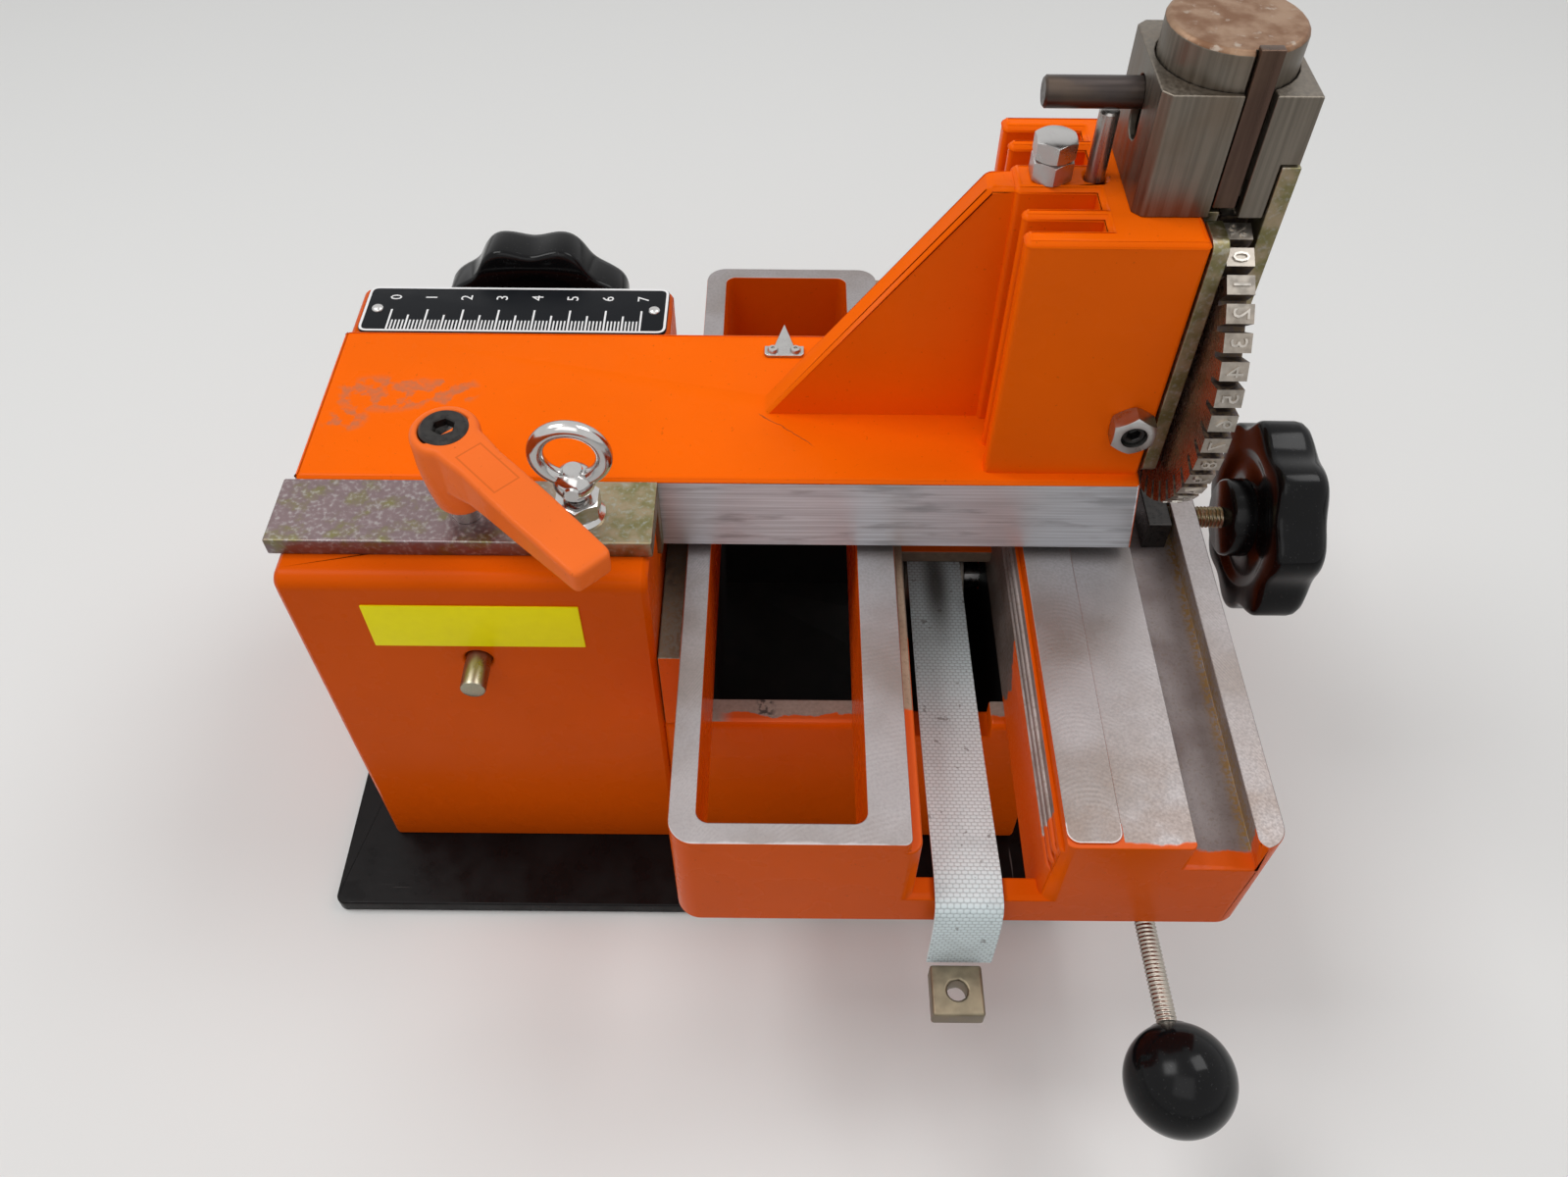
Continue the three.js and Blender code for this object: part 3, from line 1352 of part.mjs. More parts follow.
// Bracket, pivot and ball lever under the table's front
function makeBallLever() {
  const y0 = tableFront + bracket.fromFront;
  const y1 = y0 + bracket.depth;
  const low = tableBottom - bracket.drop;
  const topPlate = box([bracketLeft, bracketRight], [y0, y1], [tableBottom - bracket.top, tableBottom]);
  const ears = [bracketLeft, bracketRight - bracket.ear].map((x) =>
    box([x, x + bracket.ear], [y0, y1], [low, tableBottom - clearance]),
  );
  const axis = [pivotY, pivotHeight];
  const holeRadius = pivot.radius + boreFit;
  const hole = bar("x", holeRadius, axis, bracketLeft - overrun, bracketRight + overrun, smallSides);
  add("lever_bracket", cut(join(topPlate, ...ears), hole), "blackOxide");
  add("lever_pivot", bar("x", pivot.radius, axis, bracketLeft, bracketRight, smallSides), "brightSteel");

  const hubLeft = bracketLeft + bracket.ear + clearance;
  const hubRight = bracketRight - bracket.ear - clearance;
  const hub = bar("x", pawl.hub, axis, hubLeft, hubRight);
  const tail = box(
    [hubLeft, hubLeft + pawl.bar],
    [pivotY, pivotY + pawl.reach],
    [pivotHeight - pawl.barHeight / 2, pivotHeight + pawl.barHeight / 2],
  );
  const tooth = box(
    [hubLeft, hubLeft + pawl.bar],
    [pivotY + pawl.reach - pawl.toothWidth, pivotY + pawl.reach],
    [pivotHeight - pawl.barHeight / 2 - pawl.toothDepth, pivotHeight],
  );
  const bore = bar("x", pivot.radius + boreFit, axis, hubLeft - overrun, hubRight + overrun, smallSides);

  const place = new THREE.Group();
  place.position.set(bracketLeft + handle.side, pivotY, pivotHeight);
  place.rotation.set(THREE.MathUtils.degToRad(handleTilt), 0, THREE.MathUtils.degToRad(handleSwing));
  root.add(place);
  place.updateMatrixWorld(true);
  const socketShape = new THREE.CylinderGeometry(pawl.socket, pawl.socket, pawl.socketLength, smallSides);
  socketShape.translate(0, -pawl.socketLength / 2, 0);
  socketShape.applyMatrix4(place.matrixWorld);
  const rodFit = handle.radius + boreFit;
  const socketHole = new THREE.CylinderGeometry(rodFit, rodFit, pawl.socketLength, smallSides);
  socketHole.translate(0, -pawl.socketLength / 2 - pawl.hub, 0);
  socketHole.applyMatrix4(place.matrixWorld);
  const body = cut(join(hub, tail, tooth, solid(socketShape)), bore, solid(socketHole));
  add("release_lever", body, "blackOxide");

  const rodStart = -pawl.hub - clearance;
  add("lever_rod", bar("y", handle.radius, [0, 0], -handle.length, rodStart), "zinc", place);
  const ballCentre = -handle.length + handle.bite - handle.ball;
  const profile = [];
  const flatAngle = Math.asin(handle.flat / handle.ball);
  const steps = roundSides / 2;
  for (let i = 0; i <= steps; i++) {
    const angle = (i / steps) * (Math.PI - flatAngle);
    profile.push([handle.ball * Math.sin(angle), -handle.ball * Math.cos(angle)]);
  }
  profile[0] = [0, -handle.ball];
  profile.push([0, handle.ball * Math.cos(flatAngle)]);
  const ballSolid = turned("y", profile, [0, 0], ballCentre);
  const rodHole = bar("y", handle.radius + boreFit, [0, 0], -handle.length - boreFit, 0);
  add("ball_knob", cut(ballSolid, rodHole), "blackPlastic", place);
}

makeBasePlate();
makeTower();
makeBed();
makeGuides();
makeKeeper();
makeArm();
makeScale();
makePointer();
makeRamGuide();
makeRam();
makeColumnPins();
makeWheelPlates();
makeTypeWheel();
makeDetent();
makeTable();
makeSideClamp();
makeRearClamp();
makeClampLever();
makeEyeBolt();
makeFrontFittings();
makeDrum();
makeBand();
makeRack();
makeBallLever();

export default root;
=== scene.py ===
"""Nameplate marking machine: a type wheel on a sliding arm over a sliding clamping table.

Every piece is a surface worked out from its formula, or a softened copy of its solid, and sits in the
place that its solid has. Sizes are in metres, the frame is +X to the right, +Y to the rear, +Z up.
"""

import json
import math

import bmesh
import bpy
import numpy as np
from mathutils import Matrix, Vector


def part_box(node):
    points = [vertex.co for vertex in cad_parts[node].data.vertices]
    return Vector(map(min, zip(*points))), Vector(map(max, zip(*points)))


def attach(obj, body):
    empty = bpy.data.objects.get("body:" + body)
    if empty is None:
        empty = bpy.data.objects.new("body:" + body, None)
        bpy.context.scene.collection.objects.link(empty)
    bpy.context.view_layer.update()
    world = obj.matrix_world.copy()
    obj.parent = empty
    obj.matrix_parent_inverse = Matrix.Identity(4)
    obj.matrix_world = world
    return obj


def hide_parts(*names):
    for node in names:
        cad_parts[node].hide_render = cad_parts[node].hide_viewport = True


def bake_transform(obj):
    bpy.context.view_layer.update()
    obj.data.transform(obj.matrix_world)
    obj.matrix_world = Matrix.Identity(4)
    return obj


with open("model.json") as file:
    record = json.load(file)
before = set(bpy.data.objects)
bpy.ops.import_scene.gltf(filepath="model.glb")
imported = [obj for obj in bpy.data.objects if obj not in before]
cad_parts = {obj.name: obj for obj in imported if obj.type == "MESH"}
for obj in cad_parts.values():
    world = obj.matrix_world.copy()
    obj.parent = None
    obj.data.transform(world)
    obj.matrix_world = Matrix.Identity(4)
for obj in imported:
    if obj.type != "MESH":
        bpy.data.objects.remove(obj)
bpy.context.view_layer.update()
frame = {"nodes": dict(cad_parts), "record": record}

BODY_OF = {node: body for body, nodes in frame["record"]["behaviour"]["bodies"].items() for node in nodes}
MM = 0.001
AXES = "xyz"
UNIT_SQUARE = [(-1, -1), (1, -1), (1, 1), (-1, 1)]
FLAT = 0.9  # a face lies across an axis where its normal's share of that axis passes this
BAND_WIDTH, BAND_THICKNESS = 0.0161, 0.0014
LEVER_TURN = math.radians(45.5)  # how far the clamp lever points to the front at rest
CHARACTERS = "0123456789ABCDEFGHIJKLMNOPQRSTUVWXYZ-/.:&+%"

bl_info = {
    "name": "Nameplate marking machine",
    "version": (1, 0, 0),
    "blender": (4, 5, 0),
    "location": "3D View > Sidebar > Marking machine",
    "description": "Builds a bench machine that stamps letters into metal nameplates",
    "category": "Add Mesh",
}


def length(name, description, default):
    """A size in metres that the panel shows."""
    return bpy.props.FloatProperty(
        name=name, description=description, default=default, unit="LENGTH", precision=5
    )


def colour(name, description, default):
    """A linear colour that the panel shows."""
    return bpy.props.FloatVectorProperty(
        name=name, description=description, default=default, size=3, min=0, max=1, subtype="COLOR"
    )


class MachineSizes(bpy.types.PropertyGroup):
    casting_edge: length("Casting edge", "Rounding of the painted castings' edges", 0.0011)
    milled_edge: length("Milled edge", "Rounding of the machined parts' edges", 0.0004)
    letter_height: length("Letter height", "Height of the letters on the type wheel", 0.0038)
    letter_relief: length("Letter relief", "How far a letter stands out of its finger", 0.0004)
    digit_height: length("Digit height", "Height of the scale plate's digits", 0.0034)
    border: length("Border", "Width of the scale plate's white border", 0.0009)
    print_rise: length("Print rise", "How far the scale plate's print stands up", 0.00006)
    knob_lobe: length("Knob lobe", "How far the knobs' lobes reach in and out", 0.0016)
    rod_pitch: length("Rod pitch", "Pitch of the lever rod's thread", 0.001)
    weave_across: length("Weave across", "Distance between two yarns in a row of the draw band", 0.00155)
    weave_along: length("Weave along", "Distance between two rows of yarn of the draw band", 0.00115)
    swirl_pitch: length("Swirl pitch", "Distance between two marks of the milling cutter", 0.0013)
    stain_x: length("Dark oval across", "Middle of the draw band's darker oval, along X", 0.0699)
    stain_y: length("Dark oval along", "Middle of the draw band's darker oval, along Y", -0.0010)
    groove_corner: length("Groove corner", "Distance of the rusty corner from the table's right", 0.0045)
    spot_x: length("Rim spot", "Middle of the black spot on the bed's rim, along X", 0.0194)


class MachineColours(bpy.types.PropertyGroup):
    # One orange enamel covers the tower, bed, table, arm and column. The tower, bed and table get this darker
    # copy, which is painted shade, and the arm and column get the lighter copy below, which is painted light.
    orange: colour("Orange", "Enamel of the tower, bed and table", (0.68, 0.090, 0.001))
    arm_orange: colour("Arm orange", "Enamel of the arm and its column", (0.93, 0.135, 0.0015))
    lever_orange: colour("Lever orange", "Enamel of the clamp lever", (0.88, 0.165, 0.028))
    milled_iron: colour("Milled iron", "Bare faces of the table", (0.33, 0.305, 0.305))
    stain: colour("Stain", "Brown tint of old machined iron", (0.14, 0.095, 0.06))
    black_enamel: colour("Black enamel", "Base plate", (0.006, 0.005, 0.005))
    zinc: colour("Zinc", "Yellow zinc plating", (0.25, 0.225, 0.10))
    bright_steel: colour("Bright steel", "Polished and plated steel", (0.50, 0.49, 0.48))
    ground_steel: colour("Ground steel", "Ram guide and pins", (0.17, 0.148, 0.122))
    type_steel: colour("Type steel", "Letter faces of the type wheel", (0.34, 0.305, 0.265))
    knob_black: colour("Knob black", "Moulded knobs and ball", (0.004, 0.004, 0.0045))
    label: colour("Label", "Plain label film", (0.98, 0.85, 0.002))
    scale_black: colour("Scale black", "Ground of the scale plate", (0.009, 0.010, 0.012))
    scale_white: colour("Scale white", "Marks of the scale plate", (0.80, 0.80, 0.80))
    webbing: colour("Webbing", "Yarn of the draw band", (0.72, 0.81, 0.83))
    floor: colour("Floor", "Plain floor", (0.78, 0.78, 0.77))


def sizes():
    """The sizes that the user may change."""
    return bpy.context.scene.marking_machine_sizes


def colours():
    """The colours that the user may change."""
    return bpy.context.scene.marking_machine_colours


def extents(node):
    """A node's lowest corner, highest corner and middle."""
    low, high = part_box(node)
    return low, high, (low + high) / 2


def middle_line(node, axis):
    """Where a node's middle line along an axis crosses the plane of the other two."""
    middle = extents(node)[2]
    return tuple(middle[i] for i in range(3) if AXES[i] != axis)


# Shapes


def corner_curves(corners, reach, steps=4):
    """An outline whose corners are quadratic curves.

    Each curve leaves its side `reach` before the corner and meets the next side as far after it.
    """
    corners = np.asarray(corners, float)
    before = np.roll(corners, 1, 0) - corners
    after = np.roll(corners, -1, 0) - corners
    reach = np.broadcast_to(np.asarray(reach, float), (len(corners),))[:, None]
    start = (corners + before / np.linalg.norm(before, axis=1, keepdims=True) * reach)[:, None]
    end = (corners + after / np.linalg.norm(after, axis=1, keepdims=True) * reach)[:, None]
    t = np.linspace(0, 1, steps + 1)[None, :, None]
    curves = (1 - t) ** 2 * start + 2 * t * (1 - t) * corners[:, None] + t**2 * end
    return curves.reshape(-1, corners.shape[1])


def drawn_in(outline, distance):
    """An outline moved inwards.

    Each point goes against the mean of its sides' normals, scaled so that both sides move by the distance.
    """
    side = np.roll(outline, -1, 0) - outline
    normal = np.stack([side[:, 1], -side[:, 0]], 1) / np.linalg.norm(side, axis=1, keepdims=True)
    last = np.roll(normal, 1, 0)
    return outline - distance * (last + normal) / (1 + (last * normal).sum(1, keepdims=True))


def oblong(low, high, across, up):
    """The four corners of a box seen along the axis that is neither across nor up."""
    left, right = getattr(low, across), getattr(high, across)
    foot, top = getattr(low, up), getattr(high, up)
    return [(left, foot), (right, foot), (right, top), (left, top)]


def along(axis, u, v, h):
    """Points whose height h runs along an axis: (u, v) is (y, z) for X, (x, z) for Y and (x, y) for Z."""
    order = {"x": (h, u, v), "y": (u, h, v), "z": (u, v, h)}[axis]
    return np.stack(np.broadcast_arrays(*order), -1)


def circle(sides):
    """The angles of a ring's points, one turn shared evenly."""
    return np.arange(sides) * (2 * np.pi / sides)


def rings(axis, centre, radius, height):
    """Round sections: row i is a ring of radius[i, j] at angle j, at height[i, j]."""
    radius, height = np.broadcast_arrays(radius, height)
    angle = circle(radius.shape[1])
    return along(axis, centre[0] + radius * np.cos(angle), centre[1] + radius * np.sin(angle), height)


def turned(axis, centre, profile, sides=48, ring=False):
    """A turned surface: each (radius, height) of the profile becomes a ring round the axis."""
    profile = np.asarray(profile, float)
    return shell(rings(axis, centre, np.repeat(profile[:, :1], sides, 1), profile[:, 1:]), ring)


def outline_rows(outline, levels):
    """Row i is the outline drawn in by levels[i][0], at height levels[i][1]."""
    return np.array([np.c_[drawn_in(outline, inwards), np.full(len(outline), h)] for inwards, h in levels])


def plate(axis, outline, levels):
    """A plate with rolled edges, from its outline at each of its levels."""
    points = outline_rows(outline, levels)
    return shell(along(axis, points[..., 0], points[..., 1], points[..., 2]))


def rolled(low, high, edge, steps=3):
    """Levels of a plate whose edges are quarter rounds.

    It is drawn in by edge (1 - sin a) where it has risen by edge (1 - cos a).
    """
    turn = np.linspace(0, np.pi / 2, steps + 1)
    inwards, rise = edge * (1 - np.sin(turn)), edge * (1 - np.cos(turn))
    return [*zip(inwards, low + rise), *zip(inwards[::-1], high - rise[::-1])]


def hexagon_radius(angle, across):
    """Middle to side: half the hexagon's width over the cosine of the angle from the nearest flat."""
    return across / 2 / np.cos((angle + np.pi / 6) % (np.pi / 3) - np.pi / 6)


def hexagon(axis, centre, across, low, high, bore=0.0, sides=72):
    """A nut or bolt head whose ends fall at 30 degrees where its corners pass the inner circle."""
    inner_share = 0.485
    outer = hexagon_radius(circle(sides), across)
    inner = np.full(sides, across * inner_share)
    fall = np.maximum(outer - inner, 0) * math.tan(math.pi / 6) * np.sign(high - low)
    hole = np.full(sides, bore)
    radius = np.array([hole, inner, outer, outer, inner, hole])
    level = 0 * outer
    height = np.array([low + level, low + level, low + fall, high - fall, high + level, high + level])
    return shell(rings(axis, centre, radius, height), ring=bore > 0)


def socket_screw(axis, centre, radius, low, high, across, depth, edge=0.0004, sides=72):
    """A round screw end with a socket: rings out to the rim, in to the hexagon and down its sides."""
    way = np.sign(high - low)
    hexagonal = hexagon_radius(circle(sides), across)
    flat = np.ones(sides)
    rows = [
        (0 * flat, low),
        ((radius - edge) * flat, low),
        (radius * flat, low + way * edge),
        (radius * flat, high - way * edge),
        ((radius - edge) * flat, high),
        (hexagonal + edge / 2, high),
        (hexagonal, high - way * edge / 2),
        (hexagonal, high - way * depth),
        (0 * flat, high - way * (depth + across / 4)),
    ]
    return shell(rings(axis, centre, np.array([far for far, _ in rows]), np.array([[h] for _, h in rows])))


def threaded(axis, centre, radius, depth, pitch, low, high, sides=24):
    """A threaded rod: the radius falls by a triangle wave of height over pitch less the share of a turn."""
    rows_per_turn = 6
    height = np.linspace(low, high, int(abs(high - low) / pitch * rows_per_turn) + 1)[:, None]
    turn = np.arange(sides) / sides
    wave = np.abs(((height / pitch - turn) % 1) * 2 - 1)
    ends = [rings(axis, centre, np.zeros((1, sides)), end) for end in (low, high)]
    return shell(np.concatenate([ends[0], rings(axis, centre, radius - depth * wave, height), ends[1]]))


def shell(points, ring=False):
    """Vertices and quads of a grid that closes along its rows.

    The rows also close into one another when ring is set, or else they end in flat caps.
    """
    rows, columns = points.shape[:2]
    row = np.arange(rows if ring else rows - 1)[:, None]
    column = np.arange(columns)[None, :]
    beside = (column + 1) % columns
    above = (row + 1) % rows
    corners = [(row, column), (row, beside), (above, beside), (above, column)]
    quads = np.stack(np.broadcast_arrays(*[i * columns + j for i, j in corners]), -1).reshape(-1, 4)
    caps = [] if ring else [np.arange(columns)[::-1], np.arange(columns) + (rows - 1) * columns]
    return points.reshape(-1, 3), [*quads.tolist(), *[cap.tolist() for cap in caps]]


def moved(made, change):
    """A shell whose points are passed through a function."""
    return change(made[0]), made[1]


def link(name, mesh):
    """A new object in the scene."""
    piece = bpy.data.objects.new(name, mesh)
    bpy.context.scene.collection.objects.link(piece)
    return piece


def tidy(mesh, crease):
    """Merges doubles, drops faces without area, turns normals outwards, and smooths below the crease."""
    shape = bmesh.new()
    shape.from_mesh(mesh)
    bmesh.ops.remove_doubles(shape, verts=shape.verts, dist=1e-7)
    bmesh.ops.dissolve_degenerate(shape, edges=shape.edges, dist=1e-8)
    bmesh.ops.recalc_face_normals(shape, faces=shape.faces)
    shape.to_mesh(mesh)
    shape.free()
    mesh.shade_smooth()
    mesh.set_sharp_from_angle(angle=math.radians(crease))


def build(name, shells, finish, crease=35, across=None):
    """One piece from closed shells; across holds a UV pair for each vertex."""
    starts = np.cumsum([0, *[len(vertices) for vertices, faces in shells]])
    faces = [[i + start for i in face] for start, (_, made) in zip(starts, shells) for face in made]
    mesh = bpy.data.meshes.new(name)
    mesh.from_pydata(np.concatenate([vertices for vertices, made in shells]), [], faces)
    mesh.materials.append(finish)
    if across is not None:
        index = np.empty(len(mesh.loops), np.int32)
        mesh.loops.foreach_get("vertex_index", index)
        mesh.uv_layers.new(name="weave").data.foreach_set("uv", across[index].ravel())
    tidy(mesh, crease)
    return link(name, mesh)


def settle(piece, slot, *nodes, body=None):
    """A piece takes its nodes' place: they are hidden, and it rides on their body."""
    if nodes:
        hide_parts(*nodes)
    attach(piece, body or BODY_OF[nodes[0]])
    return piece


def turned_piece(node, ending, axis, profile, slot, finish, sides=48, about=None):
    """A profile turned round its node's middle line, or another node's, takes the node's place."""
    made = turned(axis, middle_line(about or node, axis), profile, sides)
    return settle(build(node + ending, [made], finish), slot, node)


def evaluated_mesh(piece):
    """A piece's mesh with its modifiers worked out."""
    return bpy.data.meshes.new_from_object(piece.evaluated_get(bpy.context.evaluated_depsgraph_get()))


def softened(node, slot, finishes, edge=0.0, choose=None, weigh=None, segments=2):
    """A merged copy of a solid with its outer edges rounded.

    choose picks each face's finish, and weigh picks each edge's share of the rounding. The underside
    keeps its edges, because a face with holes may lose them where its edges are dissolved.
    """
    shape = bmesh.new()
    shape.from_mesh(frame["nodes"][node].data)
    same_point, same_plane, straight_down, corner = 2e-6, 0.02, -0.999, math.radians(38)
    bmesh.ops.remove_doubles(shape, verts=shape.verts, dist=same_point)
    seen = [side for side in shape.edges if any(face.normal.z > straight_down for face in side.link_faces)]
    bmesh.ops.dissolve_limit(shape, angle_limit=same_plane, verts=shape.verts, edges=seen)
    weight = shape.edges.layers.float.new("bevel_weight_edge")
    for side in shape.edges:
        if edge and side.is_convex and side.calc_face_angle(0) > corner:
            side[weight] = weigh((side.verts[0].co + side.verts[1].co) / 2) if weigh else 1
    for face in shape.faces:
        face.material_index = choose(face.calc_center_median(), face.normal) if choose else 0
    mesh = bpy.data.meshes.new(node + "_merged")
    shape.to_mesh(mesh)
    shape.free()
    for finish in finishes:
        mesh.materials.append(finish)
    piece = link(node + "_finished", mesh)
    if edge:
        bevel = piece.modifiers.new("Edges", "BEVEL")
        bevel.width = edge
        bevel.segments = segments
        bevel.limit_method = "WEIGHT"
        bevel.use_clamp_overlap = False
        rounded = evaluated_mesh(piece)
        rounded.name = piece.name
        piece.modifiers.clear()
        piece.data = rounded
    piece.data.shade_smooth()
    piece.data.set_sharp_from_angle(angle=math.radians(50 if edge else 35))
    flat = piece.modifiers.new("Flat faces", "WEIGHTED_NORMAL")
    flat.keep_sharp = True
    return settle(piece, slot, node)


def dress(finish, *nodes):
    """Solids that keep their shape get their finish."""
    for node in nodes:
        materials = frame["nodes"][node].data.materials
        materials.clear()
        materials.append(finish)


# Finishes


class Field:
    """A value that nodes work out at each point of a piece: each operation adds the node that does it."""

    def __init__(self, finish, socket):
        self.finish = finish
        self.socket = socket

    def __add__(self, other):
        return self.finish.maths("ADD", self, other)

    def __sub__(self, other):
        return self.finish.maths("SUBTRACT", self, other)

    def __rsub__(self, other):
        return self.finish.maths("SUBTRACT", other, self)

    def __mul__(self, other):
        return self.finish.maths("MULTIPLY", self, other)

    def __truediv__(self, other):
        return self.finish.maths("DIVIDE", self, other)

    def __abs__(self):
        return self.finish.maths("ABSOLUTE", self)

    def power(self, exponent):
        return self.finish.maths("POWER", self, exponent)

    def larger(self, other):
        return self.finish.maths("MAXIMUM", self, other)

    def less(self, limit):
        return self.finish.maths("LESS_THAN", self, limit)

    def sine(self):
        return self.finish.maths("SINE", self)

    def root(self):
        return self.finish.maths("SQRT", self)

    def fade(self, low, high, start=0.0, end=1.0):
        """Goes smoothly from start to end while the value goes from low to high."""
        values = {"Value": self, "From Min": low, "From Max": high, "To Min": start, "To Max": end}
        return self.finish.field("MapRange", values, interpolation_type="SMOOTHSTEP")


class Finish:
    """A procedural material on object coordinates: noise, bands and masks that end in one shader."""

    def __init__(self, name, **sockets):
        self.material = bpy.data.materials.new(name)
        self.material.use_nodes = True
        self.tree = self.material.node_tree
        self.tree.nodes.clear()
        self.shader = self.node("BsdfPrincipled")
        self.tree.links.new(self.shader.outputs[0], self.node("OutputMaterial").inputs["Surface"])
        self.place = self.node("TexCoord").outputs["Object"]
        self.set(**{"Specular_IOR_Level": 0.25, **sockets})

    def node(self, kind, values=None, **settings):
        made = self.tree.nodes.new("ShaderNode" + kind)
        for key, value in settings.items():
            setattr(made, key, value)
        for key, value in (values or {}).items():
            self.put(made.inputs[key], value)
        return made

    def put(self, socket, value):
        """A socket gets a link where the value is a field or a socket, or else the value itself."""
        value = getattr(value, "socket", value)
        if isinstance(value, bpy.types.NodeSocket):
            self.tree.links.new(value, socket)
        else:
            socket.default_value = value

    def field(self, kind, values=None, output=0, **settings):
        """A new node's output as a field."""
        return Field(self, self.node(kind, values, **settings).outputs[output])

    def set(self, **sockets):
        """Shader sockets by name, with underscores for their spaces."""
        for key, value in sockets.items():
            name = key.replace("_", " ").title().replace("Ior", "IOR")
            self.put(self.shader.inputs[name], opaque(value))

    def parts(self, place=None):
        """The three coordinates of a place, which is the point's own unless another is given."""
        outputs = self.node("SeparateXYZ", {"Vector": self.place if place is None else place}).outputs
        return [Field(self, output) for output in outputs]

    def axis(self, name):
        return self.parts()[AXES.index(name)]

    def noise(self, scale, detail=3.0, stretch=(1, 1, 1), turn=(0, 0, 0)):
        """Noise with this many patches to a metre and finer detail; its place may be stretched or turned."""
        place = self.place
        if stretch != (1, 1, 1) or turn != (0, 0, 0):
            place = self.node("Mapping", {"Vector": place, "Rotation": turn, "Scale": stretch}).outputs[0]
        return self.field("TexNoise", {"Vector": place, "Scale": scale, "Detail": detail})

    def maths(self, operation, a, b=0.0):
        return self.field("Math", {0: a, 1: b}, operation=operation)

    def mix(self, share, a, b):
        """The colour a where the share is 0, b where it is 1, and their mean between."""
        return self.field("Mix", {0: share, 6: opaque(a), 7: opaque(b)}, 2, data_type="RGBA")

    def ground(self, share, a, b):
        """The base colour starts as a mix of two colours."""
        self.base = self.mix(share, a, b)
        self.set(Base_Color=self.base)

    def cover(self, share, value):
        """Another colour lies over the base colour by this share."""
        self.ground(share, self.base, value)

    def bump(self, height, distance, strength=1.0):
        """Tilts the surface as if the height, 0 to 1, raised it by up to the distance."""
        self.set(Normal=self.field("Bump", {"Height": height, "Distance": distance, "Strength": strength}))


def opaque(value):
    """A colour gets its fourth channel, and anything else stays as it is."""
    return (*value, 1) if hasattr(value, "__len__") else value


def shade(value, factor):
    """A colour made darker or lighter: each channel times the factor, kept between 0 and 1."""
    return tuple(min(max(channel * factor, 0.0), 1.0) for channel in value)


def oval(x, y, middle, reach):
    """The square of the distance from an oval's middle, measured in its own half-widths."""
    across, back = (x - middle[0]) / reach[0], (y - middle[1]) / reach[1]
    return across * across + back * back


def enamel(name, value, roughness=0.22):
    """Glossy enamel on a casting: slow colour drift, fine orange peel, specks and small chips."""
    finish = Finish(name, Specular_IOR_Level=0.04)
    finish.ground(finish.noise(26), shade(value, 0.88), shade(value, 1.08))
    finish.cover(finish.noise(900, 2).fade(0.70, 0.76) * 0.35, shade(value, 0.45))
    finish.set(Roughness=finish.noise(70).fade(0.3, 0.7, roughness, roughness + 0.1))
    finish.bump(finish.noise(260, 2), 0.0002, 0.15)
    return finish


def paint():
    """The orange enamel of the tower, bed, table and guide strip, in the darker of its two copies: painted
    shade.
    """
    return enamel("orange_enamel", colours().orange)


def scuffed_paint():
    """Orange enamel in its lighter copy, which is painted light, with worn patches near the arm's left end
    and a hair crack at the gusset's foot.

    A patch fades with the distance in its own oval. The crack is where x + slope y is at its place, but
    for the wander that noise gives it.
    """
    finish = enamel("scuffed_enamel", colours().arm_orange)
    x, y, z = finish.parts()
    arm_top, slope, crack_place = 0.1345, 1.15, 0.0170
    on_top = z.fade(arm_top, arm_top + 0.0002)
    worn = 0.0
    for middle, reach in (
        ((-0.0800, 0.0060), (0.017, 0.0075)),
        ((-0.0640, 0.0070), (0.0085, 0.0062)),
        ((-0.0890, -0.0040), (0.0065, 0.0048)),
    ):
        worn = oval(x, y, middle, reach).fade(1.15, 0.35).larger(worn)
    ragged = finish.noise(210, 5).fade(0.47, 0.56)
    worn = worn * ragged * on_top * finish.noise(650, 3).fade(0.2, 0.7, 0.35, 0.85)
    wander = (finish.noise(140) - 0.5) * 0.006
    line = abs(x + y * slope - crack_place + wander)
    crack = line.fade(0.00032, 0.0001) * on_top * (y.fade(-0.013, -0.010) * y.fade(0.0, -0.002))
    finish.cover(worn * 0.7, (0.33, 0.17, 0.10))
    finish.cover(crack * 0.75, (0.16, 0.05, 0.02))
    return finish


def lever_paint():
    """Lighter enamel with the fine outline of an inset panel, drawn as a dark line that is painted shade at
    the inset's edge.

    The line is where the larger of the distances past the panel's end and past its side is near zero.
    """
    finish = enamel("lever_enamel", colours().lever_orange, 0.2)
    middle = extents("lever_stud")[2]
    panel_middle, half_length, half_width, lever_top = 0.0165, 0.007, 0.0032, 0.1600
    from_stud = {"Vector": finish.place, "Location": (-middle.x, -middle.y, 0.0)}
    values = {"Vector": finish.node("Mapping", from_stud).outputs[0], "Rotation": (0, 0, LEVER_TURN)}
    ahead, beside, _ = finish.parts(finish.node("Mapping", values).outputs[0])
    line = abs((abs(ahead - panel_middle) - half_length).larger(abs(beside) - half_width))
    line = line.fade(0.0003, 0.0001) * finish.axis("z").fade(lever_top, lever_top + 0.0005)
    # A darker line along the panel's outline: painted shade at the inset's edge.
    finish.cover(line * 0.4, shade(colours().lever_orange, 0.45))
    return finish


